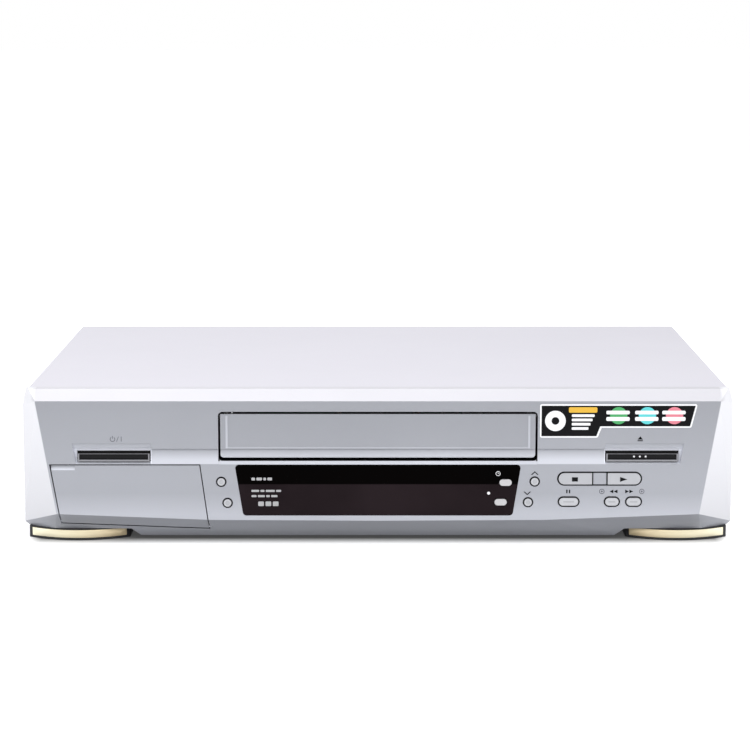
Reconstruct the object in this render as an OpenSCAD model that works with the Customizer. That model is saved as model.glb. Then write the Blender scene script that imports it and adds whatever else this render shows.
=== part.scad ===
// Front-loading VHS video cassette recorder with a silver front.
// Millimetres. X is to the right, Y to the back, Z up. The origin is on the floor,
// under the middle of the whole recorder.

/* [Case] */
// Overall width across the flared sides of the fascia
body_w = 430; // [430:1:440]
// Overall depth from the foremost key to the rear sockets
body_d = 294; // [294:1:310]
// Overall height with the feet
body_h = 92; // [92:1:96]
// Height of the feet under the chassis
foot_h = 8.4; // [8:0.2:9]
// Height of the front feet, which stand under the fascia
front_foot_h = 7.2; // [7:0.1:7.6]
// Wall of the moulded fascia
fascia_wall = 2.5; // [2.3:0.1:2.6]
// Sheet thickness of the folded cover
cover_t = 0.8; // [0.7:0.1:1]

/* [Cassette door] */
// Width of the cassette door
door_w = 188.8; // [188:0.2:189]
// Height of the cassette door
door_h = 26.4; // [26:0.1:26.8]

/* [Keys] */
// How far the keys stand out of the front panel
key_proud = 0.7; // [0.4:0.1:0.8]
// How far a key goes in
key_travel = 0.6; // [0.4:0.1:0.6]
// Radius of the round keys
round_key_r = 2.25; // [2.1:0.05:2.4]

/* [Tape deck] */
// Radius of the head drum
drum_r = 31; // [30.5:0.1:31.2]
// Tilt of the head drum in degrees
drum_tilt = 5.97; // [5:0.01:6]
// Distance between the two reel spindles
reel_pitch = 92; // [91.5:0.1:92.5]
// How far the cassette carriage goes down
carriage_drop = 22; // [20:0.5:22]
// How far the cassette carriage runs from front to back
carriage_run = 54; // [50:1:54]

/* [Hidden] */
$fn = 48;

// Depths are counted back from the plane of the front panel.
front_y = -body_d / 2 + key_proud;
function fy(depth) = front_y + depth;
eps = 0.01;

// Half widths and heights of the case
wing_x = body_w / 2;
cover_x = wing_x - 2.6;
inner_x = cover_x - cover_t - 0.7;
panel_top_x = wing_x - 10;
panel_top_z = body_h - 6;
panel_low_x = wing_x - 21.8;
panel_low_z = 17.2;
panel_mid_z = 13.1;
bevel_depth = 10.3;
fascia_depth = 17.5;
skirt_depth = 8;
skirt_z = 2.5;
skirt_x = 148;
skirt_end_x = 196;
skirt_end_z = 4.35;
wing_foot = [212.3, 7];
wing_low_z = 9.3;
wing_high_z = 81;
// Corner between the cover's side and the wing's full width
wing_corner = [wing_x - 0.9, 86];
cover_depth = 287;
rear_face = 285;
rear_t = 1.5;
last_depth = body_d - key_proud;
floor_t = 1.5;
floor_z = foot_h;
floor_top = floor_z + floor_t;

// Cassette door and its opening in the front panel
door_x = door_w / 2;
door_top = 78.2;
door_low = door_top - door_h;
door_gap = 1.3;
door_gap_low = 2;
door_gap_high = 1.5;
door_t = 1.8;
door_r = 2;
door_axis_depth = 1.8;
door_axis_z = door_top - 1;
door_pin_r = 1;
rib_x = 90;
ear_x = door_x + 1.6;
ear_t = 2.4;

// Notch that runs across the panel beside the door
notch_low = 47.8;
notch_high = 57.1;
notch_deep = 2;
pocket_high = 60.5;
pocket_end = 184;
pocket_inner = 136.3;
backing_back = 4.5;
bar_mid_x = 158.5;
bar_w = 43;
bar_h = 6;
bar_z = 52.3;
bar_low = bar_z - bar_h / 2;
bar_high = bar_z + bar_h / 2;
bar_step = bar_high - 1.1;
bar_scoop = 0.9;
bar_gap_low = 0.25;
bar_gap_high = 0.4;
bar_gap_side = 0.5;

// Display window
window_top_x = 86;
window_low_x = 81;
window_top = 47.5;
window_low = 16.3;
window_t = 2;

// Keys: place, width and height of each cap
stop_key = [118.6, 38.95, 20, 6.9];
play_key = [147.9, 38.95, 19.8, 6.9];
pause_key = [114.7, 24.85, 11.4, 4.7];
rewind_key = [140.7, 24.85, 8, 4.7];
forward_key = [153.75, 24.85, 8.5, 4.7];
timer_key = [76.7, 36.6, 7.3, 3.9];
record_key = [73.8, 24.6, 7.3, 3.9];
up_key = [94.2, 37.2];
down_key = [90.3, 24.5];
upper_left_key = [-94.1, 37];
lower_left_key = [-90.4, 24.1];
key_gap = 0.95;
pill_left = 107.6;
pill_right = 158.7;
pill_h = 8.7;
spacer_left = 129.4;
spacer_right = 137.2;
spacer_root_h = 9;
dimple_r = 1.3;
flange_t = 1;
flange_lip = 1.2;

// Front circuit board, its switches and the gap that a key leaves to its switch
board_front = 14;
board_t = 1.6;
switch_tip = 9.7;
stem_end = switch_tip - key_travel - 0.1;

// Flap over the front sockets
flap_t = 1.8;
flap_gap = 0.65;
flap_left_x = -190.6;
flap_right_x = -101.9;
flap_left_z = 11.25;
flap_right_z = 7.85;
flap_outline = [[-196.6, 47], [-107.2, 47], [flap_right_x, flap_right_z], [flap_left_x, flap_left_z]];
// The hinge line runs inside the flap, along its slanted lower edge
flap_axis_depth = 4.09;
flap_axis_rise = 0.985;
flap_axis_slope = atan((flap_left_z - flap_right_z) / (flap_right_x - flap_left_x));
flap_pin_r = 0.6;

// Tape deck
deck_x = 102;
deck_front = 36;
deck_back = 268;
post_depths = [60, 262];
deck_z = 19;
deck_t = 1.2;
deck_top = deck_z + deck_t;
drum_depth = 226;
drum_low_z = 24;
reel_depth = 134;
reel_x = reel_pitch / 2;
capstan_x = 70;
capstan_depth = 196;
pinch_pivot = [92, 216];
pinch_rest = [70.5, 213.75];
guide_r = 46;
guide_start = 35;
gear_x = -78;
gear_depth = 238;

// Cassette carriage, drawn at the corner of its L-shaped way
holder_front = 84;
holder_back = 188;
holder_x = 96.1;
holder_low = 49.8;
holder_high = 78.6;
slider_x = 96.9;
bracket_x = 98.6;
sheet_t = 1.2;
pin_depths = [100, 172];
pin_z = 66;
pin_r = 2;
lug_depths = [110, 160];
lug_z = 76;
lug_r = 1.5;
running_gap = 0.1;

// ---------------------------------------------------------------- helpers
// Box between two widths, depths and heights
module slab(x0, x1, d0, d1, z0, z1) {
    translate([x0, fy(d0), z0]) cube([x1 - x0, d1 - d0, z1 - z0]);
}

// Outline drawn as width and height, standing between two depths
module upright(d0, d1) {
    translate([0, fy(d1), 0]) rotate([90, 0, 0]) linear_extrude(d1 - d0) children();
}

// Outline drawn as depth and height, running between two widths
module crosswise(x0, x1) {
    translate([x0, front_y, 0]) rotate([90, 0, 90]) linear_extrude(x1 - x0) children();
}

// Outline drawn as width and depth, lying between two heights
module lying(z0, z1) {
    translate([0, front_y, z0]) linear_extrude(z1 - z0) children();
}

// Round bar along the depth
module rod_y(x, z, r, d0, d1) {
    translate([x, fy(d0), z]) rotate([-90, 0, 0]) cylinder(r = r, h = d1 - d0);
}

// Round bar along the width
module rod_x(depth, z, r, x0, x1) {
    translate([x0, fy(depth), z]) rotate([0, 90, 0]) cylinder(r = r, h = x1 - x0);
}

// Upright round bar
module rod_z(x, depth, r, z0, z1) {
    translate([x, fy(depth), z0]) cylinder(r = r, h = z1 - z0);
}

// Slot outline with round ends, lying along the first axis
module pill(w, h) {
    square([w - h, h], center = true);
    for (side = [-1, 1]) translate([side * (w - h) / 2, 0]) circle(d = h);
}

// Rectangle with round corners between two corners
module soft_rect(x0, y0, x1, y1, r) {
    translate([x0 + r, y0 + r]) offset(r = r, $fn = 24) square([x1 - x0 - 2 * r, y1 - y0 - 2 * r]);
}

module both_sides() {
    children();
    mirror([1, 0, 0]) children();
}

// ---------------------------------------------------------------- case
// Outline of the fascia at its back edge, set in by the wall t
function wing_outline(t) = [
    [-cover_x + t, body_h - t], [cover_x - t, body_h - t],
    [wing_corner[0] - t, wing_corner[1]], [wing_x - t, wing_high_z],
    [wing_x - t, wing_low_z + t], [wing_foot[0] - t, wing_foot[1] + t],
    [skirt_x, skirt_z + t], [-skirt_x, skirt_z + t], [-wing_foot[0] + t, wing_foot[1] + t],
    [-wing_x + t, wing_low_z + t], [-wing_x + t, wing_high_z],
    [-wing_corner[0] + t, wing_corner[1]]
];

// Outline of the flat front panel, set in by the wall t
function panel_outline(t) = [
    [-panel_top_x + t, panel_top_z - t / 2], [panel_top_x - t, panel_top_z - t / 2],
    [panel_low_x - t, panel_low_z + t / 2], [100, 13.6 + t / 2], [0, panel_mid_z + t / 2],
    [-100, 13.6 + t / 2], [-panel_low_x + t, panel_low_z + t / 2]
];

// Closed form of the fascia: flat panel, flared wings, top bevel and lower chamfer
module fascia_form(t, back) {
    hull() {
        upright(t, t + eps) polygon(panel_outline(t));
        upright(bevel_depth, bevel_depth + eps)
            translate([-cover_x + 2 + t, body_h - 3 - t]) square([2 * (cover_x - 2 - t), 3]);
        upright(skirt_depth + t, skirt_depth + t + eps)
            polygon([[-skirt_x, skirt_z + t], [skirt_x, skirt_z + t],
                     [skirt_end_x - t, skirt_end_z + t], [skirt_end_x - t, skirt_end_z + 1.7 + t],
                     [-skirt_end_x + t, skirt_end_z + 1.7 + t],
                     [-skirt_end_x + t, skirt_end_z + t]]);
        upright(back - eps, back) polygon(wing_outline(t));
    }
}

// Underside over a front foot, with its ramp to the skirt
module foot_bay(top) {
    both_sides() upright(-2, fascia_depth + 4)
        polygon([[skirt_x - 9, -1], [skirt_x + 1, top], [wing_x + 5, top], [wing_x + 5, -1]]);
}

module flap_area(grow) {
    offset(delta = grow) polygon(flap_outline);
}

// Pins at both ends of the flap's hinge line
module flap_pins(r, more) {
    for (ends = [[-1.7 - more, 1.6], [flap_right_x - flap_left_x - 1.6,
                                     flap_right_x - flap_left_x + 1.7 + more]])
        translate([flap_left_x, fy(flap_axis_depth), flap_left_z + flap_axis_rise])
            rotate([0, 90 + flap_axis_slope, 0]) translate([0, 0, ends[0]])
                cylinder(r = r, h = ends[1] - ends[0]);
}

module window_area(grow) {
    offset(delta = grow) offset(r = 2.2, $fn = 32) offset(delta = -2.2)
        polygon([[-window_top_x, window_top], [window_top_x, window_top],
                 [window_low_x, window_low], [-window_low_x, window_low]]);
}

module pill_hole(key, gap) {
    translate([key[0], key[1]]) pill(key[2] + 2 * gap, key[3] + 2 * gap);
}

// Notch that steps back under its upper edge and slopes out to the panel below
module notch_cut() {
    both_sides() {
        crosswise(door_x + 0.5, pocket_inner + 0.5)
            polygon([[-1, notch_high], [notch_deep, notch_high], [0, notch_low], [-1, notch_low]]);
        intersection() {
            crosswise(pocket_inner, pocket_end)
                polygon([[-1, pocket_high + 1.8], [0, pocket_high], [2.3, 56.9], [2.3, 49.4],
                         [0, notch_low], [-1, notch_low]]);
            upright(-1, 3) polygon([[pocket_inner, 46], [pocket_inner, 64],
                                    [pocket_end, 64], [pocket_end - 3, 46]]);
        }
    }
}

module front_fascia() {
    color([0.70, 0.72, 0.76]) difference() {
        union() {
            difference() {
                fascia_form(0, fascia_depth);
                difference() {
                    fascia_form(fascia_wall, fascia_depth + 2);
                    foot_bay(front_foot_h + fascia_wall);
                }
                foot_bay(front_foot_h);
            }
            // Thicker strip behind the notch
            both_sides() slab(door_x + 2, pocket_end + 3, fascia_wall - 0.1, backing_back, 46.2, 63);
            // Fixed piece between the stop and play keys
            upright(0.3, 4.2) translate([spacer_left, stop_key[1] - stop_key[3] / 2])
                square([spacer_right - spacer_left, stop_key[3]]);
            upright(1.6, 4.2) translate([spacer_left, stop_key[1] - spacer_root_h / 2])
                square([spacer_right - spacer_left, spacer_root_h]);
            // Ears that carry the door's pins
            both_sides() slab(ear_x, ear_x + ear_t, 1.5, 7.5, 72, door_top + 3);
        }
        notch_cut();
        // Cassette slot
        upright(-1, 6) soft_rect(-door_x - door_gap, door_low - door_gap_low,
                                 door_x + door_gap, door_top + door_gap_high, door_r + 0.6);
        // Display window
        upright(-1, 6) window_area(0.02);
        // Flap
        upright(-1, 8) flap_area(flap_gap);
        // Bars for power and eject
        both_sides() slab(bar_mid_x - bar_w / 2 - bar_gap_side, bar_mid_x + bar_w / 2 + bar_gap_side,
                          1, 6, bar_low - bar_gap_low, bar_high + bar_gap_high);
        // Long hole of the stop and play keys, on both sides of the fixed piece
        upright(-1, 1.6) difference() {
            translate([(pill_left + pill_right) / 2, stop_key[1]])
                pill(pill_right - pill_left, pill_h);
            translate([spacer_left, stop_key[1] - stop_key[3] / 2])
                square([spacer_right - spacer_left, stop_key[3]]);
        }
        upright(-1, 6) difference() {
            translate([(pill_left + pill_right) / 2, stop_key[1]])
                pill(pill_right - pill_left, pill_h);
            translate([spacer_left, 30]) square([spacer_right - spacer_left, 16]);
        }
        for (key = [pause_key, rewind_key, forward_key]) upright(-1, 6) pill_hole(key, key_gap);
        for (key = [up_key, down_key, upper_left_key, lower_left_key])
            rod_y(key[0], key[1], round_key_r + key_gap, -1, 6);
        // Bores for the pins of the door and of the flap
        both_sides() rod_x(door_axis_depth, door_axis_z, door_pin_r + 0.06,
                           ear_x - 1, ear_x + ear_t + 1);
        flap_pins(flap_pin_r + 0.06, 0.3);
    }
}

module display_window() {
    color([0.10, 0.08, 0.09]) difference() {
        upright(0.15, 0.15 + window_t) window_area(0);
        for (key = [timer_key, record_key]) upright(-1, 6) pill_hole(key, 0.4);
    }
}

// Folded sheet: a top and two sides, with round folds
module cover_section(grow) {
    offset(r = 3, $fn = 32) offset(delta = -3)
        translate([-cover_x - grow, -20]) square([2 * (cover_x + grow), body_h + 20 + grow]);
}

module top_cover() {
    color([0.86, 0.86, 0.90]) difference() {
        upright(fascia_depth, cover_depth) intersection() {
            difference() {
                cover_section(0);
                cover_section(-cover_t);
            }
            translate([-300, floor_z + 1]) square([600, 200]);
        }
        // Cooling slots low in both sides
        for (i = [0:9]) translate([0, fy(196 + 7 * i), 30])
            rotate([90, 0, 90]) translate([0, 0, -cover_x - 5])
                linear_extrude(2 * cover_x + 10) square([2.6, 26]);
        // Screw holes
        for (d = [52, 250]) translate([-cover_x - 5, fy(d), 17]) rotate([0, 90, 0])
            cylinder(r = 1.7, h = 2 * cover_x + 10);
    }
}

// Round-headed screw with a cross recess, its shank pointing to -Z, its head above zero
module round_screw(head_r, head_h, shank_r, shank_l) {
    difference() {
        union() {
            translate([0, 0, -shank_l]) cylinder(r = shank_r, h = shank_l + 0.1);
            cylinder(r1 = head_r, r2 = head_r * 0.72, h = head_h);
        }
        for (a = [0, 90]) rotate(a) translate([-head_r * 0.5, -head_r * 0.1, head_h * 0.45])
            cube([head_r, head_r * 0.2, head_h]);
    }
}

module cover_screws() {
    color([0.75, 0.75, 0.78]) {
        both_sides() for (d = [52, 250]) translate([cover_x, fy(d), 17])
            rotate([0, 90, 0]) round_screw(3.4, 1.6, 1.5, 4);
        for (x = [-198, 0, 198]) translate([x, fy(rear_face), 84])
            rotate([-90, 0, 0]) round_screw(2.6, 1.4, 1.3, 4);
    }
}

module bottom_chassis() {
    color([0.55, 0.56, 0.58]) difference() {
        union() {
            slab(-inner_x, inner_x, fascia_depth + 0.2, rear_face - rear_t, floor_z, floor_top);
            // Upturned sides, which the cover's screws bite into
            both_sides() slab(inner_x - 1.5, inner_x, fascia_depth + 0.2, rear_face - rear_t,
                              floor_top, 26);
            // Posts under the tape deck
            for (x = [-86, 86]) for (d = post_depths) rod_z(x, d, 5, floor_top, deck_z);
            // Posts under the two side boards
            for (x = [-200, -114, 114, 200]) for (d = [122, 262])
                rod_z(x, d, 3, floor_top, 16);
        }
        // Cooling slots in the floor
        for (row = [0:1]) for (i = [0:11]) both_sides()
            lying(floor_z - 1, floor_top + 1) translate([118 + i * 7, 150 + row * 46])
                square([2.6, 36]);
        for (x = [-86, 86]) for (d = post_depths) rod_z(x, d, 1.4, floor_z - 1, deck_z + 1);
        both_sides() for (d = [52, 250]) rod_x(d, 17, 1.5, inner_x - 3, inner_x + 2);
    }
}

// Places on the rear panel: width and height of each socket's middle
scart_places = [[-62, 33], [-62, 62]];
rca_places = [[-8, 30], [-8, 48], [-8, 66], [24, 30], [24, 48], [24, 66]];
aerial_places = [[132, 34], [132, 58]];
inlet_place = [-168, 34];
rca_r = 4.15;

module scart_outline(grow) {
    offset(delta = grow)
        polygon([[-22.5, -5.5], [19, -5.5], [23, -1.5], [23, 5.5], [-22.5, 5.5]]);
}

module rear_panel() {
    color([0.23, 0.24, 0.26]) difference() {
        upright(rear_face - rear_t, rear_face)
            soft_rect(-inner_x, floor_z, inner_x, body_h - cover_t - 0.4, 3);
        for (p = scart_places) upright(rear_face - 3, rear_face + 1)
            translate(p) scart_outline(1.6);
        for (p = rca_places) rod_y(p[0], p[1], 5.6, rear_face - 3, rear_face + 1);
        for (p = aerial_places) rod_y(p[0], p[1], 6.3, rear_face - 3, rear_face + 1);
        upright(rear_face - 3, rear_face + 1) translate(inlet_place)
            square([25.2, 17.2], center = true);
        // Cooling slots over the power supply
        for (i = [0:13]) upright(rear_face - 3, rear_face + 1)
            translate([-196 + i * 6, 58]) square([2.6, 20]);
        for (x = [-198, 0, 198]) rod_y(x, 84, 1.3, rear_face - 3, rear_face + 1);
    }
}

// Outline of a front foot in plan: a round front and a straight back
foot_mid_x = 181.3;
foot_w = 61.4;
foot_round_r = 50;
foot_front = 4;
foot_back = 34;
trim_t = 0.6;
trim_w = 57.2;
trim_low = 1.6;
trim_high = 6.4;
module foot_plan(shrink, back) {
    intersection() {
        translate([foot_mid_x, foot_front + foot_round_r])
            circle(r = foot_round_r - shrink, $fn = 96);
        translate([foot_mid_x - foot_w / 2 + shrink, 0]) square([foot_w - 2 * shrink, back - shrink]);
    }
}

module front_feet() {
    color([0.10, 0.10, 0.11]) both_sides() {
        difference() {
            union() {
                lying(0, front_foot_h) foot_plan(0, foot_back);
                // Step up to the floor of the chassis
                lying(front_foot_h - 1, foot_h) intersection() {
                    foot_plan(3, foot_back);
                    translate([100, fascia_depth + 0.7]) square([200, 40]);
                }
            }
            // Rebate for the trim, which leaves a rim above and below it
            lying(trim_low, trim_high) difference() {
                translate([foot_mid_x - trim_w / 2, 0]) square([trim_w, 24]);
                foot_plan(trim_t, foot_back);
            }
            // Recess under the foot, which leaves a rim to stand on
            lying(-1, 1) foot_plan(9, foot_back);
        }
    }
}

module foot_trims() {
    color([0.90, 0.84, 0.66]) both_sides() lying(trim_low, trim_high) difference() {
        intersection() {
            translate([foot_mid_x, foot_front + foot_round_r])
                circle(r = foot_round_r + 0.3, $fn = 96);
            translate([foot_mid_x - trim_w / 2, 0]) square([trim_w, 24]);
        }
        foot_plan(trim_t, foot_back);
    }
}

module rear_feet() {
    color([0.10, 0.10, 0.11]) both_sides() difference() {
        rod_z(165, 258, 13, 0, foot_h);
        rod_z(165, 258, 9, -1, 1);
    }
}

module sticker_plate() {
    color([0.08, 0.08, 0.09]) upright(-0.25, 0) offset(r = 1, $fn = 16) offset(delta = -1)
        polygon([[97, 84.3], [191.2, 84.3], [187.6, 70], [134, 70], [131.6, 64], [97, 64]]);
}

// ---------------------------------------------------------------- electronics
// Middles of the switches on the front board, one behind each key
switch_places = [
    [-bar_mid_x, bar_z], [bar_mid_x, bar_z], [stop_key[0], stop_key[1]],
    [play_key[0], play_key[1]], [pause_key[0], pause_key[1]], [rewind_key[0], rewind_key[1]],
    [forward_key[0], forward_key[1]], [timer_key[0], timer_key[1]],
    [record_key[0], record_key[1]], up_key, down_key, upper_left_key, lower_left_key
];

module front_board() {
    color([0.12, 0.36, 0.20]) {
        upright(board_front, board_front + board_t) difference() {
            polygon([[-190, 60], [-190, 46.8], [-101, 46.8], [-101, 12], [190, 12], [190, 60],
                     [103, 60], [103, 48.2], [-103, 48.2], [-103, 60]]);
            for (x = [-186, 186]) translate([x, 56]) circle(r = 1.6);
        }
        for (p = switch_places) {
            upright(board_front - 3.4, board_front + 0.4) translate(p)
                square([6, 6], center = true);
            rod_y(p[0], p[1], 1.7, switch_tip, board_front - 3);
        }
    }
}

module display_tube() {
    color([0.16, 0.22, 0.24]) {
        upright(5, 12) translate([-60, 20]) square([104, 24]);
        // Pins of the tube, in two rows down to the board
        for (i = [0:12]) for (z = [18.6, 45.4])
            rod_y(-56 + i * 8, z, 0.4, 9, board_front);
        for (z = [18.6, 45.4]) upright(8.4, 9) translate([-60, z - 1]) square([104, 2]);
        for (z = [18.6, 44]) upright(8.4, 9) translate([-60, z]) square([104, 1.4]);
    }
}

// Sockets behind the flap: picture, left sound, right sound, and the round four-pin socket
front_socket_x = [-150, -134, -118];
front_socket_z = 27;
svideo_x = -170;
module front_sockets() {
    color([0.13, 0.13, 0.14]) {
        difference() {
            union() {
                // Dark plate with a shallow rim
                upright(13, 14.5) translate([-187, 12]) square([82, 34.4]);
                for (x = front_socket_x) {
                    rod_y(x, front_socket_z, 6.4, 12, 13);
                    rod_y(x, front_socket_z, rca_r, 4.6, 12);
                }
                rod_y(svideo_x, front_socket_z, 6.4, 8.6, 13);
                upright(14.5, 30) translate([-180, 20]) square([68, 15]);
            }
            for (x = front_socket_x) rod_y(x, front_socket_z, 1.65, 3, 12.4);
            rod_y(svideo_x, front_socket_z, 4.7, 8, 11);
        }
        // Post in the middle of the four-pin socket
        upright(9, 11.2) translate([svideo_x - 1, front_socket_z - 2]) square([2, 1.2]);
    }
}

// Circuit board with a row of parts: chip, chip, coil and small capacitors
module loaded_board(x0, x1, d0, d1) {
    slab(x0, x1, d0, d1, 16, 16 + board_t);
}

module main_board() {
    color([0.12, 0.36, 0.20]) {
        loaded_board(108, 204, 30, 280);
        for (place = [[120, 60, 22, 22], [160, 96, 16, 30], [124, 132, 28, 12], [168, 150, 18, 18]])
            slab(place[0], place[0] + place[2], place[1], place[1] + place[3],
                 16 + board_t, 19.8);
        for (i = [0:5]) rod_z(116 + i * 14, 186, 3.4, 16 + board_t, 27);
        for (i = [0:3]) rod_z(186, 60 + i * 12, 2.6, 16 + board_t, 24);
    }
}

module power_board() {
    color([0.55, 0.42, 0.22]) {
        loaded_board(-204, -108, 110, 280);
        rod_z(-186, 236, 11, 16 + board_t, 52);
        for (d = [170, 186, 202]) rod_z(-118, d, 5.2, 16 + board_t, 38);
        slab(-150, -132, 222, 236, 16 + board_t, 34);
        // Fuse in its clips
        rod_y(-196, 22, 2.6, 176, 196);
        for (d = [176, 193]) slab(-199.5, -192.5, d, d + 3, 16 + board_t, 19.8);
    }
}

module power_transformer() {
    color([0.32, 0.30, 0.30]) {
        // Ferrite core and the winding through it
        for (d = [134, 158]) slab(-192, -146, d, d + 8, 17.6, 58);
        for (x = [-192, -152]) slab(x, x + 6, 142, 158, 17.6, 58);
        slab(-184, -154, 128, 172, 22, 53);
    }
}

module heat_sink() {
    color([0.70, 0.71, 0.72]) {
        slab(-128, -126, 118, 160, 17.6, 62);
        for (i = [0:6]) slab(-126, -112, 118 + i * 6.8, 119.2 + i * 6.8, 17.6, 62);
    }
}

module tuner_module() {
    color([0.78, 0.78, 0.80]) difference() {
        union() {
            slab(112, 152, 214, rear_face - rear_t, 17.6, 68);
            for (p = aerial_places) {
                rod_y(p[0], p[1], 6, rear_face - rear_t, 286);
                rod_y(p[0], p[1], 4.75, 286, last_depth);
            }
        }
        // Inlet takes a plug inside it, and the outlet has a fine centre contact
        rod_y(aerial_places[0][0], aerial_places[0][1], 4, rear_face, last_depth + 1);
        rod_y(aerial_places[1][0], aerial_places[1][1], 1.3, rear_face, last_depth + 1);
        // Row of tuning holes in the can
        for (i = [0:4]) rod_z(122 + i * 5, 236, 1.2, 66, 69);
    }
}

module av_board() {
    color([0.12, 0.36, 0.20]) difference() {
        upright(271.4, 273) translate([-92, 14]) square([164, 66]);
        for (x = [-88, 68]) rod_y(x, 76, 1.6, 270, 275);
    }
}

module scart_sockets() {
    color([0.10, 0.10, 0.11]) for (p = scart_places) difference() {
        union() {
            upright(273, 283.5) translate(p) square([52, 18], center = true);
            upright(283.5, 290.4) translate(p) scart_outline(1.6);
        }
        upright(279, 292) translate(p) scart_outline(0);
        // Contact block stays in the middle of the socket
    }
    color([0.10, 0.10, 0.11]) for (p = scart_places)
        upright(279, 288) translate([p[0] - 20.4, p[1] - 1.7]) difference() {
            square([38.4, 3.4]);
            for (i = [0:9]) translate([1.5 + i * 3.8, 2.6]) square([1.2, 2]);
            for (i = [0:9]) translate([3.4 + i * 3.8, -1.2]) square([1.2, 2]);
        }
}

module rear_av_jacks() {
    color([0.72, 0.70, 0.62]) for (p = rca_places) difference() {
        union() {
            rod_y(p[0], p[1], 5.4, 273, 286.2);
            rod_y(p[0], p[1], rca_r, 286.2, 293);
        }
        rod_y(p[0], p[1], 1.65, 280, 294);
    }
}

module mains_inlet() {
    color([0.10, 0.10, 0.11]) difference() {
        union() {
            upright(264, 286.4) translate(inlet_place) square([25, 17], center = true);
            upright(285.1, 286.4) translate(inlet_place) square([29, 21], center = true);
        }
        // Two-pole inlet with round ends
        upright(270, 288) translate(inlet_place) pill(16.2, 8.2);
    }
    color([0.80, 0.78, 0.70]) for (x = [-4.2, 4.2])
        rod_y(inlet_place[0] + x, inlet_place[1], 1.2, 270, 281);
}

module ribbon_cable() {
    color([0.85, 0.85, 0.82]) {
        slab(60, 66, 258, 263, deck_top, 30);
        crosswise(60, 66) polygon([[259.8, 30], [259.8, 40], [263, 46], [269.4, 46],
                                   [269.4, 46.4], [262.8, 46.4], [259.4, 40.1], [259.4, 30]]);
        slab(60, 66, 269.4, 271.4, 43, 50);
    }
}

// ---------------------------------------------------------------- door and flap
module cassette_door() {
    color([0.70, 0.72, 0.76]) difference() {
        union() {
            upright(0.3, 0.3 + door_t) soft_rect(-door_x, door_low, door_x, door_top, door_r);
            // Stiffening bar behind the lower lip
            slab(-door_x + 2, door_x - 2, 0.3 + door_t, 3.4, door_low + 0.4, 60);
            // Ribs near both ends, joined by a thin ledge over the lower lip
            both_sides() slab(rib_x, rib_x + 1.3, 0.05, 0.4, 57.4, door_top - 0.8);
            slab(-rib_x, rib_x, 0.12, 0.4, 57.4, 58.4);
            // Pins at the upper corners, with the lugs that carry them
            both_sides() {
                slab(door_x - 4, door_x, 0.5, 2.8, door_axis_z - 1.2, door_top);
                rod_x(door_axis_depth, door_axis_z, door_pin_r, door_x - 3, ear_x + 2);
            }
        }
        // Lower lip, where the notch of the panel runs on
        crosswise(-door_x - 1, door_x + 1)
            polygon([[-1, 56.8], [1.5, 56.8], [0.3, door_low + 0.8], [-1, door_low + 0.8]]);
    }
}

module door_spring() {
    color([0.62, 0.62, 0.64]) {
        difference() {
            rod_x(5.5, 80.9, 2.2, -93, -87);
            rod_x(5.5, 80.9, 1.5, -94, -86);
        }
        // One leg bears on the door, the other hooks on the ear
        slab(-87.8, -87, 2.2, 5.5, 78.3, 79.1);
        slab(-ear_x, -93, 6.6, 7.4, 80.5, 81.3);
    }
}

module av_flap() {
    color([0.70, 0.72, 0.76]) difference() {
        union() {
            intersection() {
                difference() {
                    fascia_form(0, fascia_depth);
                    fascia_form(flap_t, fascia_depth + 2);
                }
                upright(-1, 12) flap_area(0);
            }
            flap_pins(flap_pin_r, 0);
        }
        // Scoop for a finger nail at the upper left corner
        translate([-189, fy(-2.4), 46.4]) rotate([0, 90, 0])
            translate([0, 0, -8]) cylinder(r = 3.6, h = 15);
    }
}

// ---------------------------------------------------------------- keys
// Cap in front of the wall, a wider flange behind it and a stem to the switch
module pill_button(key, wall_back, shade) {
    color(shade) {
        upright(-key_proud, wall_back + 0.2) translate([key[0], key[1]]) pill(key[2], key[3]);
        upright(wall_back + 0.2, wall_back + 0.2 + flange_t) translate([key[0], key[1]])
            pill(key[2] + 2 * flange_lip, key[3] + 2 * flange_lip);
        rod_y(key[0], key[1], 1.3, wall_back + 0.2 + flange_t, stem_end);
    }
}

module round_button(place) {
    color([0.84, 0.84, 0.87]) {
        difference() {
            rod_y(place[0], place[1], round_key_r, -key_proud, fascia_wall + 0.2);
            // Shallow dimple for the fingertip
            rod_y(place[0], place[1], dimple_r, -key_proud - 1, -key_proud + 0.25);
        }
        rod_y(place[0], place[1], round_key_r + key_gap + 0.4, fascia_wall + 0.2,
              fascia_wall + 0.2 + flange_t);
        rod_y(place[0], place[1], 1.3, fascia_wall + 0.2 + flange_t, stem_end);
    }
}

// Long dark bar with a low front edge
module bar_button(side) {
    color([0.07, 0.07, 0.08]) translate([side * bar_mid_x, 0, 0]) {
        difference() {
            crosswise(-bar_w / 2, bar_w / 2)
                polygon([[0.2, bar_low], [0.2, bar_step], [2.4, bar_step], [2.4, bar_high],
                         [backing_back + 0.2, bar_high], [backing_back + 0.2, bar_low]]);
            // Finger scoop between a lip below and a thin rim above
            crosswise(-bar_w / 2 + 1.2, bar_w / 2 - 1.2)
                polygon([[-1, bar_low + 1.2], [0.2, bar_low + 1.2], [bar_scoop, bar_low + 2.2],
                         [bar_scoop, bar_step - 0.9], [0.2, bar_step - 0.4], [-1, bar_step - 0.4]]);
        }
        upright(backing_back + 0.2, backing_back + 0.2 + flange_t) translate([0, bar_z])
            square([bar_w + 2.4, bar_h + 2.2], center = true);
        rod_y(0, bar_z, 1.3, backing_back + 0.2 + flange_t, stem_end);
    }
}

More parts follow.
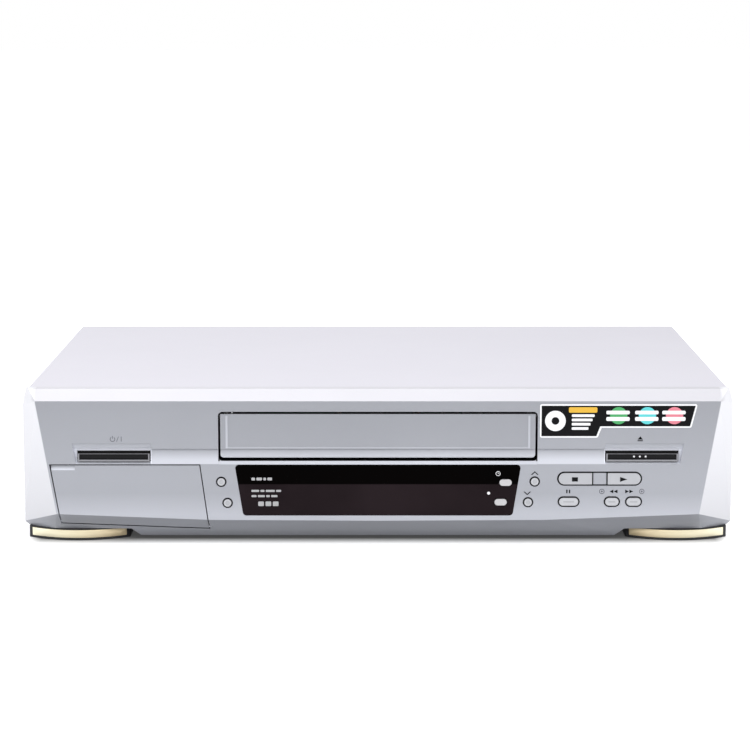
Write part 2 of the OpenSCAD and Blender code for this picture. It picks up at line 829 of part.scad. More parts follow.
// Half of the long key pair: round at one end, straight at the fixed piece
module half_pill_button(key, round_side) {
    radius = key[3] / 2;
    color([0.78, 0.80, 0.84]) {
        upright(-key_proud + 0.1, fascia_wall + 0.2) translate([key[0], key[1]])
            half_pill(key[2], radius, round_side);
        upright(fascia_wall + 0.2, fascia_wall + 0.2 + flange_t) translate([key[0], key[1]])
            square([key[2] + 0.2, key[3] + 3], center = true);
        rod_y(key[0], key[1], 1.3, fascia_wall + 0.2 + flange_t, stem_end);
    }
}

module half_pill(w, radius, round_side) {
    translate([-w / 2 + (round_side < 0 ? radius : 0), -radius]) square([w - radius, 2 * radius]);
    translate([round_side * (w / 2 - radius), 0]) circle(r = radius);
}

key_silver = [0.80, 0.82, 0.86];
key_white = [0.92, 0.92, 0.94];
module power_button() bar_button(-1);
module eject_button() bar_button(1);
module stop_button() half_pill_button(stop_key, -1);
module play_button() half_pill_button(play_key, 1);
module pause_button() pill_button(pause_key, fascia_wall, key_silver);
module rewind_button() pill_button(rewind_key, fascia_wall, key_silver);
module fast_forward_button() pill_button(forward_key, fascia_wall, key_silver);
module channel_up_button() round_button(up_key);
module channel_down_button() round_button(down_key);
module upper_left_button() round_button(upper_left_key);
module lower_left_button() round_button(lower_left_key);
module timer_button() pill_button(timer_key, fascia_wall, key_white);
module record_button() pill_button(record_key, fascia_wall, key_white);

// ---------------------------------------------------------------- tape deck
// Ring slot around the drum's foot, between two angles, for a guide's pin
module ring_slot(from, to, half) {
    translate([0, drum_depth]) difference() {
        pie(guide_r + half, from - 3.5, to + 3.5);
        circle(r = guide_r - half, $fn = 96);
    }
}

// Sector of a disc, for angles up to a third of a turn apart
module pie(r, from, to) {
    intersection() {
        circle(r = r, $fn = 96);
        polygon([[0, 0], 2 * r * [cos(from), sin(from)],
                 2.4 * r * [cos((from + to) / 2), sin((from + to) / 2)],
                 2 * r * [cos(to), sin(to)]]);
    }
}

supply_from = -90 - guide_start;
supply_to = -195;
take_up_from = -90 + guide_start;
take_up_to = 15;

module deck_plate() {
    color([0.66, 0.67, 0.68]) difference() {
        union() {
            lying(deck_z, deck_top) difference() {
                soft_rect(-deck_x, deck_front, deck_x, deck_back, 4);
                ring_slot(supply_to, supply_from, 2.6);
                ring_slot(take_up_from, take_up_to, 2.6);
                // Windows over the brake and clutch parts
                translate([-20, 60]) square([40, 34]);
                translate([-76, 66]) square([22, 20]);
                translate([54, 66]) square([22, 20]);
            }
            // Folded edges
            both_sides() slab(deck_x - 1.5, deck_x - 0.3, deck_front + 4, deck_back - 4, 14, deck_z + 0.5);
            // Bearings
            for (x = [-reel_x, reel_x]) rod_z(x, reel_depth, 5, deck_z + 0.5, 22);
            rod_z(0, reel_depth - 10, 4, deck_z + 0.5, 22);
            rod_z(capstan_x, capstan_depth, 4.2, deck_z - 1.2, 27);
            rod_z(gear_x, gear_depth, 3.4, deck_z + 0.5, 21.2);
            rod_z(pinch_pivot[0], pinch_pivot[1], 4, deck_z + 0.5, 23);
        }
        for (x = [-reel_x, reel_x]) rod_z(x, reel_depth, 2.06, 14, 24);
        rod_z(0, reel_depth - 10, 1.56, 14, 24);
        rod_z(capstan_x, capstan_depth, 1.55, 14, 31);
        rod_z(gear_x, gear_depth, 2.06, 14, 24);
        rod_z(pinch_pivot[0], pinch_pivot[1], 1.56, 14, 24);
        for (x = [-86, 86]) for (d = post_depths) rod_z(x, d, 1.6, 14, 24);
    }
}

module deck_screws() {
    color([0.80, 0.78, 0.66]) for (x = [-86, 86]) for (d = post_depths)
        translate([x, fy(d), deck_top]) round_screw(3, 1.8, 1.35, 7);
}

module drum_place() {
    translate([0, fy(drum_depth), drum_low_z]) rotate([-drum_tilt, 0, 0]) children();
}

module drum_base() {
    color([0.80, 0.81, 0.82]) {
        drum_place() difference() {
            union() {
                cylinder(r = drum_r, h = 15, $fn = 96);
                cylinder(r = 5, h = 18);
            }
            translate([0, 0, -1]) cylinder(r = 2.56, h = 22);
            // Step of the tape's lower edge
            translate([0, 0, 3]) difference() {
                rotate([0.6, 0, 0]) cylinder(r = drum_r + 1, h = 1, $fn = 96);
                translate([0, 0, -2]) cylinder(r = drum_r - 0.5, h = 5, $fn = 96);
            }
        }
        // Three legs to the deck
        for (a = [30, 150, 270]) translate([0, fy(drum_depth), 0]) rotate(a)
            translate([22, -4, deck_top]) cube([6, 8, 4.6 + 3 * abs(sin(a))]);
    }
}

module upper_drum() {
    color([0.86, 0.87, 0.88]) drum_place() difference() {
        union() {
            translate([0, 0, 18.1]) cylinder(r = drum_r, h = 14, $fn = 96);
            translate([0, 0, 32.1]) cylinder(r = 12, h = 3);
            translate([0, 0, 0.5]) cylinder(r = 2.5, h = 20);
        }
        // Ring groove and screw holes in the top
        translate([0, 0, 30.6]) difference() {
            cylinder(r = 27, h = 3);
            translate([0, 0, -1]) cylinder(r = 16, h = 5);
        }
        for (a = [45, 225]) rotate(a) translate([8, 0, 33]) cylinder(r = 1.6, h = 4);
        // Windows of the video heads in the lower edge
        for (a = [0, 90, 180, 270]) rotate(a) translate([drum_r - 1.2, -2.5, 17])
            cube([3, 5, 3]);
    }
}

module capstan_motor() {
    color([0.30, 0.42, 0.30]) difference() {
        union() {
            lying(floor_top, floor_top + 1) translate([capstan_x, capstan_depth])
                offset(r = 4, $fn = 24) square([46, 40], center = true);
            for (a = [0:60:300]) translate([capstan_x, fy(capstan_depth), floor_top + 1])
                rotate(a) translate([13.5, 0, 0]) cylinder(r = 4, h = 1.2);
        }
        rod_z(capstan_x, capstan_depth, 3, 8, 14);
    }
}

module capstan() {
    color([0.80, 0.80, 0.82]) {
        rod_z(capstan_x, capstan_depth, 1.5, 12.6, 50);
        difference() {
            rod_z(capstan_x, capstan_depth, 20, 12.6, 17.4);
            // Groove for the belt
            difference() {
                rod_z(capstan_x, capstan_depth, 22, 14, 16);
                rod_z(capstan_x, capstan_depth, 17.5, 13, 17);
            }
            for (a = [0:60:300]) translate([capstan_x, fy(capstan_depth), 10]) rotate(a)
                translate([10, 0, 0]) cylinder(r = 2.6, h = 10);
        }
    }
}

// Flat belt in the gap under the deck, from the capstan to the clutch
clutch_place = [0, 150];
module drive_belt() {
    color([0.06, 0.06, 0.07]) lying(14.3, 15.7) difference() {
        belt_outline(18.6, 11.6);
        belt_outline(17.9, 10.9);
    }
}

module belt_outline(r_big, r_small) {
    hull() {
        translate([capstan_x, capstan_depth]) circle(r = r_big, $fn = 32);
        translate(clutch_place) circle(r = r_small, $fn = 32);
    }
}

module control_head() {
    color([0.74, 0.74, 0.74]) {
        slab(46, 58, 184, 200, deck_top, 23);
        translate([49, fy(190), 23]) rotate(35) difference() {
            translate([-4, -5, 0]) cube([8, 10, 24]);
            translate([-4.5, -3, 4]) cube([1, 6, 3]);
            translate([-4.5, -3, 16]) cube([1, 6, 3]);
        }
    }
}

module erase_head() {
    color([0.62, 0.62, 0.64]) {
        slab(-62, -50, 196, 208, deck_top, 23);
        translate([-56, fy(202), 23]) rotate(-30) difference() {
            translate([-4, -4, 0]) cube([8, 8, 20]);
            translate([-1.5, -4.5, 2]) cube([3, 1, 16]);
        }
    }
}

// Plate that turns on a pivot, with a round end at each place
module swing_plate(from, to, r_from, r_to, z0, z1) {
    lying(z0, z1) hull() {
        translate(from) circle(r = r_from, $fn = 32);
        translate(to) circle(r = r_to, $fn = 32);
    }
}

module pinch_arm() {
    color([0.72, 0.73, 0.74]) difference() {
        union() {
            swing_plate(pinch_pivot, pinch_rest, 5, 4, 23.2, 25.4);
            rod_z(pinch_pivot[0], pinch_pivot[1], 1.5, 18, 27);
            rod_z(pinch_rest[0], pinch_rest[1], 1.5, 25.4, 46);
            rod_z(pinch_rest[0], pinch_rest[1], 3, 25.4, 27.4);
        }
        rod_z(81, 215, 1.4, 20, 30);
    }
}

module pinch_roller() {
    color([0.10, 0.10, 0.11]) difference() {
        union() {
            rod_z(pinch_rest[0], pinch_rest[1], 7, 28, 43.5);
            rod_z(pinch_rest[0], pinch_rest[1], 3.2, 27.6, 44.2);
        }
        rod_z(pinch_rest[0], pinch_rest[1], 1.56, 26, 46);
    }
}

// Reel table: disc with a friction rim, and a spindle with three fins
module reel(x) {
    color([0.88, 0.88, 0.86]) {
        rod_z(x, reel_depth, 2, 16, 24);
        difference() {
            rod_z(x, reel_depth, 19, 22.3, 26);
            for (a = [0:45:315]) translate([x, fy(reel_depth), 20]) rotate(a)
                translate([13, 0, 0]) cylinder(r = 2.4, h = 10);
        }
        rod_z(x, reel_depth, 4.2, 26, 38);
        for (a = [0:120:240]) translate([x, fy(reel_depth), 26]) rotate(a)
            translate([3, -0.9, 0]) cube([4.6, 1.8, 10.5]);
    }
}

module supply_reel() reel(-reel_x);
module take_up_reel() reel(reel_x);

idler_pivot = [0, 124];
idler_mid = [0, 146];
idler_r = 13;
module idler_arm() {
    color([0.25, 0.25, 0.27]) {
        difference() {
            swing_plate(idler_pivot, idler_mid, 4.4, 4, 22.2, 23.6);
            rod_z(-0, 135, 1.6, 20, 30);
        }
        rod_z(idler_pivot[0], idler_pivot[1], 1.5, 17, 24.6);
        rod_z(idler_mid[0], idler_mid[1], 1.5, 23.6, 27.6);
    }
}

module idler_wheel() {
    color([0.12, 0.12, 0.13]) difference() {
        union() {
            rod_z(idler_mid[0], idler_mid[1], idler_r, 23.9, 25.9);
            rod_z(idler_mid[0], idler_mid[1], 4, 23.8, 27);
        }
        rod_z(idler_mid[0], idler_mid[1], 1.56, 20, 30);
        for (a = [0:60:300]) translate([idler_mid[0], fy(idler_mid[1]), 20]) rotate(a)
            translate([7.6, 0, 0]) cylinder(r = 2, h = 10);
    }
}

// Guide block that runs around the drum, with its roller post and its pin through the slot
module guide(angle) {
    color([0.84, 0.80, 0.62]) translate([0, fy(drum_depth), 0]) rotate(angle) {
        translate([guide_r - 4, -5, deck_top + 0.2]) cube([9, 10, 2.6]);
        translate([guide_r, 0, 17.6]) cylinder(r = 1.8, h = 3);
        translate([guide_r, 0, deck_top + 2.8]) cylinder(r = 1.4, h = 28);
        translate([guide_r, 0, 25]) cylinder(r = 2.6, h = 1.4);
        translate([guide_r, 0, 26.4]) cylinder(r = 2.2, h = 20);
        translate([guide_r, 0, 46.4]) cylinder(r = 2.6, h = 1.4);
    }
}

module supply_guide() guide(supply_from);
module take_up_guide() guide(take_up_from);

loading_teeth = 40;
module loading_gear() {
    color([0.90, 0.88, 0.80]) {
        rod_z(gear_x, gear_depth, 2, 16, 22);
        difference() {
            lying(21.5, 25.5) translate([gear_x, gear_depth]) {
                circle(r = 15);
                for (i = [0:loading_teeth - 1]) rotate(i * 360 / loading_teeth)
                    polygon([[14.6, -0.75], [16.8, -0.35], [16.8, 0.35], [14.6, 0.75]]);
            }
            // Cam groove in the top
            translate([gear_x + 1.5, fy(gear_depth), 24]) difference() {
                cylinder(r = 11.5, h = 3);
                translate([0, 0, -1]) cylinder(r = 8.5, h = 5);
            }
        }
    }
}

// ---------------------------------------------------------------- cassette carriage
// Side plate with its two L-shaped ways in one long slot
module bracket_side() {
    difference() {
        polygon([[24, 34], [40, deck_top], [200, deck_top], [200, 84], [24, 84]]);
        slot_way(pin_depths[0] - carriage_run, pin_depths[1], pin_z, pin_r + 0.2);
        for (d = pin_depths) translate([d, 0]) upright_way(pin_z - carriage_drop, pin_z, pin_r + 0.2);
        slot_way(lug_depths[0] - carriage_run, lug_depths[1], lug_z, lug_r + 0.2);
        translate([120, 28]) square([34, 22]);
    }
}

module slot_way(from, to, z, half) {
    translate([from, z - half]) square([to - from, 2 * half]);
    for (d = [from, to]) translate([d, z]) circle(r = half);
}

module upright_way(low, high, half) {
    translate([-half, low]) square([2 * half, high - low]);
    for (z = [low, high]) translate([0, z]) circle(r = half);
}

module carriage_brackets() {
    color([0.62, 0.63, 0.65]) both_sides() {
        crosswise(bracket_x, bracket_x + sheet_t) bracket_side();
        // Feet bent outward onto the deck
        for (d = [70, 168]) slab(bracket_x, deck_x, d, d + 14, deck_top, deck_top + sheet_t);
    }
}

module carriage_slider() {
    color([0.50, 0.51, 0.53]) {
        both_sides() {
            crosswise(slider_x, slider_x + sheet_t) difference() {
                polygon([[90, 42], [182, 42], [182, 82], [90, 82]]);
                for (d = pin_depths) translate([d, 0])
                    upright_way(pin_z - carriage_drop, pin_z, pin_r + running_gap);
                translate([114, 46]) square([44, 22]);
            }
            for (d = lug_depths)
                rod_x(d, lug_z, lug_r, slider_x + sheet_t, bracket_x + sheet_t + 1);
        }
        slab(-slider_x - sheet_t, slider_x + sheet_t, 166, 178, 82, 82 + sheet_t);
        slab(-slider_x - sheet_t, slider_x + sheet_t, 94, 106, 82, 82 + sheet_t);
    }
}

module cassette_holder() {
    color([0.70, 0.71, 0.72]) {
        upright(holder_front, holder_back) both_sides() {
            translate([holder_x - sheet_t, holder_low]) square([sheet_t, holder_high - holder_low]);
            translate([80, holder_low]) square([holder_x - 80, sheet_t]);
        }
        lying(holder_high - sheet_t, holder_high) difference() {
            translate([-holder_x, holder_front]) square([2 * holder_x, holder_back - holder_front]);
            soft_rect(-70, holder_front + 22, 70, holder_back - 26, 6);
            both_sides() translate([76, holder_front + 30]) square([10, 44]);
        }
        both_sides() for (d = pin_depths)
            rod_x(d, pin_z, pin_r, holder_x, bracket_x + sheet_t + 1);
        // Leaf springs pressing the cassette down
        both_sides() slab(78, 84, holder_front + 34, holder_front + 86,
                          holder_high - 2 * sheet_t, holder_high - sheet_t);
    }
}

bottom_chassis();
front_fascia();
display_window();
top_cover();
cover_screws();
rear_panel();
front_feet();
foot_trims();
rear_feet();
sticker_plate();
front_board();
display_tube();
front_sockets();
main_board();
power_board();
power_transformer();
heat_sink();
tuner_module();
av_board();
scart_sockets();
rear_av_jacks();
mains_inlet();
deck_plate();
deck_screws();
carriage_brackets();
drum_base();
control_head();
erase_head();
capstan_motor();
drive_belt();
ribbon_cable();
door_spring();
cassette_door();
av_flap();
power_button();
eject_button();
stop_button();
play_button();
pause_button();
rewind_button();
fast_forward_button();
channel_up_button();
channel_down_button();
upper_left_button();
lower_left_button();
timer_button();
record_button();
upper_drum();
capstan();
pinch_arm();
pinch_roller();
supply_reel();
take_up_reel();
idler_arm();
idler_wheel();
supply_guide();
take_up_guide();
loading_gear();
carriage_slider();
cassette_holder();
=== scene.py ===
"""Looks of a front-loading VHS video cassette recorder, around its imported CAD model."""

import math

import bmesh
import bpy
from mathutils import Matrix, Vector

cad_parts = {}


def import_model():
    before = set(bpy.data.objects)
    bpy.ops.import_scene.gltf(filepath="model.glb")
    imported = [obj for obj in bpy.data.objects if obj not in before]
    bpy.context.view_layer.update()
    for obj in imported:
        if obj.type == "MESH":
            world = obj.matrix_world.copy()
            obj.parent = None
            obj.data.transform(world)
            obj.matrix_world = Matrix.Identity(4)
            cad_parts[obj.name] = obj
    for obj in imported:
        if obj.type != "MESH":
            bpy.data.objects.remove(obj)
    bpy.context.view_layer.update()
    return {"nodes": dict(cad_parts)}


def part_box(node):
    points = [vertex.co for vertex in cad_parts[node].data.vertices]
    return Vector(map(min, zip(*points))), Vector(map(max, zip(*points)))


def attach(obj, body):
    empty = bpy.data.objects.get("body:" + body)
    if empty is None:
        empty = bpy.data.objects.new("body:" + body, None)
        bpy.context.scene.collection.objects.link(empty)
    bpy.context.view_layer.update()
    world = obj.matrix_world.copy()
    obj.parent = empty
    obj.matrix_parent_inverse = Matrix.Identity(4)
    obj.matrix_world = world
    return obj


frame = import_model()

MM = 0.001
CASE = "case"

# ------------------------------------------------------------------ measures, in millimetres
SIZES = {name: [Vector(corner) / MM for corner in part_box(name)] for name in frame["nodes"]}
FRONT = SIZES["cassette_door"][0].y - 0.05


def depth(value):
    """Turns a depth behind the front panel into the frame's Y."""
    return FRONT + value


# ------------------------------------------------------------------ camera
PHOTO = 750
FOCAL_PX = 2387.09
CAMERA_X = -1.74
CAMERA_FAR = 1423.98
CAMERA_PITCH = math.radians(8.95)
LOOK_Z = 101.96
SENSOR = 36.0
CLIP_END_M = 50.0


def camera():
    """Camera that stands where the photograph was taken from."""
    data = bpy.data.cameras.new("camera")
    data.sensor_width = SENSOR
    data.lens = SENSOR * FOCAL_PX / PHOTO
    data.clip_end = CLIP_END_M
    obj = bpy.data.objects.new("camera", data)
    obj.location = (CAMERA_X * MM, (depth(0) - CAMERA_FAR * math.cos(CAMERA_PITCH)) * MM,
                    (LOOK_Z + CAMERA_FAR * math.sin(CAMERA_PITCH)) * MM)
    obj.rotation_euler = (math.radians(90) - CAMERA_PITCH, 0, 0)
    bpy.context.scene.collection.objects.link(obj)
    bpy.context.scene.camera = obj


camera()


# ------------------------------------------------------------------ materials
# Height of the relief in each kind of surface, in metres
PLASTIC_RELIEF = 0.0004
METAL_RELIEF = 0.0003
FLAKE_RELIEF = 0.0002
METAL_BUMP = 0.05
# Places on a noise at which the two tones of a cloud stand, and how many clouds there are
CLOUD_STOPS = (0.3, 0.7)
CLOUD_SCALE = 14.0
GRAIN_MIX = 0.12
# How far the roughness strays to either side in moulded, metal and painted surfaces
PLASTIC_SPREAD = 0.06
METAL_SPREAD = 0.1
PAINT_SPREAD = 0.05


def new_material(name):
    """A new material, its nodes, its links and its shader."""
    mat = bpy.data.materials.new(name)
    mat.use_nodes = True
    return mat, mat.node_tree.nodes, mat.node_tree.links, mat.node_tree.nodes["Principled BSDF"]


def noise(nodes, links, scale, detail, stretch=None):
    """A noise texture in the object's own metres, stretched along an axis if asked."""
    coords = nodes.new("ShaderNodeTexCoord")
    texture = nodes.new("ShaderNodeTexNoise")
    texture.inputs["Scale"].default_value = scale
    texture.inputs["Detail"].default_value = detail
    if stretch:
        mapping = nodes.new("ShaderNodeMapping")
        mapping.inputs["Scale"].default_value = stretch
        links.new(coords.outputs["Object"], mapping.inputs["Vector"])
        links.new(mapping.outputs["Vector"], texture.inputs["Vector"])
    else:
        links.new(coords.outputs["Object"], texture.inputs["Vector"])
    return texture


def ramp(nodes, links, source, stops):
    """A colour ramp over a value; stops are (place, colour)."""
    node = nodes.new("ShaderNodeValToRGB")
    while len(node.color_ramp.elements) < len(stops):
        node.color_ramp.elements.new(0.5)
    for element, (place, colour) in zip(node.color_ramp.elements, stops):
        element.position = place
        element.color = (*colour, 1.0)
    links.new(source, node.inputs["Fac"])
    return node


def shade(colour, factor):
    """A lighter or darker tone of a colour."""
    return tuple(min(1.0, c * factor) for c in colour)


def cloud_stops(colour, spread):
    """Stops of a ramp from a little darker to a little paler than a colour."""
    dark, pale = CLOUD_STOPS
    return [(dark, shade(colour, 1 - spread)), (pale, shade(colour, 1 + spread))]


def plastic(name, colour, roughness, grain, bump, spread, coat=0.0, specular=0.5):
    """Moulded or painted surface: fine grain, a slow drift of tone and uneven gloss."""
    mat, nodes, links, shader = new_material(name)
    fine = noise(nodes, links, grain, 4.0)
    slow = noise(nodes, links, CLOUD_SCALE, 2.0)
    tone = ramp(nodes, links, slow.outputs["Fac"], cloud_stops(colour, spread))
    flake = nodes.new("ShaderNodeMix")
    flake.data_type = "RGBA"
    flake.blend_type = "OVERLAY"
    flake.inputs["Factor"].default_value = GRAIN_MIX
    links.new(tone.outputs["Color"], flake.inputs["A"])
    links.new(fine.outputs["Color"], flake.inputs["B"])
    links.new(flake.outputs["Result"], shader.inputs["Base Color"])
    gloss = nodes.new("ShaderNodeMapRange")
    gloss.inputs["To Min"].default_value = roughness - PLASTIC_SPREAD
    gloss.inputs["To Max"].default_value = roughness + PLASTIC_SPREAD
    links.new(slow.outputs["Fac"], gloss.inputs["Value"])
    links.new(gloss.outputs["Result"], shader.inputs["Roughness"])
    relief = nodes.new("ShaderNodeBump")
    relief.inputs["Strength"].default_value = bump
    relief.inputs["Distance"].default_value = PLASTIC_RELIEF
    links.new(fine.outputs["Fac"], relief.inputs["Height"])
    links.new(relief.outputs["Normal"], shader.inputs["Normal"])
    shader.inputs["Coat Weight"].default_value = coat
    shader.inputs["Specular IOR Level"].default_value = specular
    return mat


def metal(name, colour, roughness, stretch, grain=120.0):
    """Brushed or rolled metal: streaks along one axis."""
    mat, nodes, links, shader = new_material(name)
    streak = noise(nodes, links, grain, 5.0, stretch)
    tone = ramp(nodes, links, streak.outputs["Fac"],
                [(0.25, shade(colour, 0.86)), (0.75, shade(colour, 1.08))])
    links.new(tone.outputs["Color"], shader.inputs["Base Color"])
    gloss = nodes.new("ShaderNodeMapRange")
    gloss.inputs["To Min"].default_value = roughness - METAL_SPREAD
    gloss.inputs["To Max"].default_value = roughness + METAL_SPREAD
    links.new(streak.outputs["Fac"], gloss.inputs["Value"])
    links.new(gloss.outputs["Result"], shader.inputs["Roughness"])
    relief = nodes.new("ShaderNodeBump")
    relief.inputs["Strength"].default_value = METAL_BUMP
    relief.inputs["Distance"].default_value = METAL_RELIEF
    links.new(streak.outputs["Fac"], relief.inputs["Height"])
    links.new(relief.outputs["Normal"], shader.inputs["Normal"])
    shader.inputs["Metallic"].default_value = 1.0
    return mat


PANEL_GREY = (0.324, 0.332, 0.364)
# Tones of the wings and top bevel, paler than the silver partly as painted light
LIT_PEARL = (0.73, 0.73, 0.765)
LIT_BEVEL_PEARL = (0.528, 0.522, 0.558)
# Lean of the panel's side edges, and their half width where the lean is taken off
PANEL_LEAN = 0.1715
PANEL_EDGE = 190.2
# Two faces of the lower bevel: height of the upper edge at the middle of the case, its rise to
# the sides, and how far the face runs back for each millimetre down
LOW_BEVEL = ((9.74, 0.0386, 0.618), (13.1, 0.005, 0.7055))
# Painted shade: near black put on the walls of holes and gaps, and on hidden parts
HOLE_SHADE = (0.008, 0.008, 0.010)

# Recesses of the front: spans of height, and spans of distance from the middle
SCOOP_Z = (48.0, 56.8)
SCOOP_SIDE = (95.8, 136.1)
STRIP_Z = (47.8, 49.6)
POCKET_Z = (47.8, 60.0)
POCKET_SIDE = (136.1, 184.5)
DOOR_HOLE_Z = (49.7, 80.0)
BAR_HOLE_Z = (48.5, 57.0)
BAR_HOLE_SIDE = (136.2, 180.8)
NAIL_SIDE = (181.5, 197.5)


class Graph:
    """Small algebra of colour and mask nodes inside one material."""

    def __init__(self, name):
        self.mat, self.nodes, self.links, self.shader = new_material(name)
        coords = self.nodes.new("ShaderNodeTexCoord")
        split = self.nodes.new("ShaderNodeSeparateXYZ")
        self.links.new(coords.outputs["Object"], split.inputs["Vector"])
        self.side = self.math("ABSOLUTE", split.outputs["X"])
        self.x = split.outputs["X"]
        self.y = split.outputs["Y"]
        self.z = split.outputs["Z"]
        facing = self.nodes.new("ShaderNodeSeparateXYZ")
        self.links.new(coords.outputs["Normal"], facing.inputs["Vector"])
        self.under = self.step(facing.outputs["Z"], -0.1, -0.3)
        self.lid = self.step(facing.outputs["Z"], 0.6, 0.8)
        # The panel's side edges lean: this width is the same all along them
        self.lean = self.math("SUBTRACT", self.side, self.math("MULTIPLY", self.z, PANEL_LEAN))

    def plug(self, source, socket):
        """Links a socket, or sets a number or colour."""
        if isinstance(source, (int, float)):
            socket.default_value = source
        elif isinstance(source, tuple):
            socket.default_value = (*source, 1.0)
        else:
            self.links.new(source, socket)

    def math(self, operation, a, b=None):
        """Result of a sum on one or two numbers."""
        node = self.nodes.new("ShaderNodeMath")
        node.operation = operation
        self.plug(a, node.inputs[0])
        if b is not None:
            self.plug(b, node.inputs[1])
        return node.outputs["Value"]

    def both(self, *masks):
        """Where all the masks hold."""
        result = masks[0]
        for mask in masks[1:]:
            result = self.math("MULTIPLY", result, mask)
        return result

    def either(self, *masks):
        """Where any of the masks holds."""
        result = masks[0]
        for mask in masks[1:]:
            result = self.math("MAXIMUM", result, mask)
        return result

    def fade(self, value, start, end, low=0.0, high=1.0):
        """Goes from low to high between two places, in millimetres."""
        return self.step(value, start * MM, end * MM, low, high)

    def step(self, value, start, end, low=0.0, high=1.0):
        """Goes from low to high between two values."""
        node = self.nodes.new("ShaderNodeMapRange")
        node.inputs["From Min"].default_value = start
        node.inputs["From Max"].default_value = end
        node.inputs["To Min"].default_value = low
        node.inputs["To Max"].default_value = high
        self.links.new(value, node.inputs["Value"])
        return node.outputs["Result"]

    def deeper(self, start, end):
        """Mask that sets in between two depths behind the front panel."""
        return self.fade(self.y, depth(start), depth(end))

    def within(self, value, low, high, soft=0.3):
        """Mask of a span, with soft ends outside it."""
        return self.both(self.fade(value, low - soft, low), self.fade(value, high + soft, high))

    def mix(self, factor, a, b, blend="MIX"):
        """The first colour where the factor is 0, the second where it is 1."""
        node = self.nodes.new("ShaderNodeMix")
        node.data_type = "RGBA"
        node.blend_type = blend
        self.plug(factor, node.inputs["Factor"])
        self.plug(a, node.inputs["A"])
        self.plug(b, node.inputs["B"])
        return node.outputs["Result"]

    def scaled(self, colour, factor):
        """A colour times a number that varies over the surface."""
        node = self.nodes.new("ShaderNodeVectorMath")
        node.operation = "SCALE"
        self.plug(colour, node.inputs[0])
        self.plug(factor, node.inputs["Scale"])
        return node.outputs["Vector"]

    def clouded(self, colour, spread=0.03, scale=9.0):
        """A colour that drifts a little over the surface."""
        slow = noise(self.nodes, self.links, scale, 2.0)
        tone = ramp(self.nodes, self.links, slow.outputs["Fac"], cloud_stops(colour, spread))
        return tone.outputs["Color"]

    def flaked(self, colour, strength=0.10, scale=5200.0, bump=0.04):
        """Fine metal flakes under the lacquer, with a trace of relief."""
        flakes = noise(self.nodes, self.links, scale, 2.0)
        relief = self.nodes.new("ShaderNodeBump")
        relief.inputs["Strength"].default_value = bump
        relief.inputs["Distance"].default_value = FLAKE_RELIEF
        self.links.new(flakes.outputs["Fac"], relief.inputs["Height"])
        self.links.new(relief.outputs["Normal"], self.shader.inputs["Normal"])
        return self.mix(strength, colour, flakes.outputs["Color"], "OVERLAY")

    def finish(self, colour, roughness, metallic=0.0, specular=0.5):
        """Gives the shader its colour and an uneven gloss, and returns the material."""
        self.links.new(colour, self.shader.inputs["Base Color"])
        uneven = noise(self.nodes, self.links, 26.0, 3.0)
        gloss = self.nodes.new("ShaderNodeMapRange")
        gloss.inputs["To Min"].default_value = roughness - PAINT_SPREAD
        gloss.inputs["To Max"].default_value = roughness + PAINT_SPREAD
        self.links.new(uneven.outputs["Fac"], gloss.inputs["Value"])
        self.links.new(gloss.outputs["Result"], self.shader.inputs["Roughness"])
        self.shader.inputs["Metallic"].default_value = metallic
        self.shader.inputs["Specular IOR Level"].default_value = specular
        return self.mat


def silver_front(graph):
    """Silver of the front: darker near the top, paler near the bottom, painted shade on the low
    bevel.
    """
    graded = graph.scaled(graph.clouded(PANEL_GREY), graph.fade(graph.z, 84, 40, 0.93, 1.1))
    graded = graph.scaled(graded, graph.fade(graph.z, 30, 17, 1.0, 1.3))
    # Painted shade on the low bevel, which faces down: darkest under the middle, paler under the
    # wings and towards its lower edge
    low = graph.scaled(graph.clouded(PANEL_GREY), graph.fade(graph.side, 188, 200, 0.75, 0.95))
    low = graph.scaled(low, graph.fade(graph.z, 13, 7, 1.0, 1.25))
    bevel_shade = graph.both(graph.under, graph.fade(graph.z, 19.5, 18.5))
    return graph.mix(bevel_shade, graded, low)


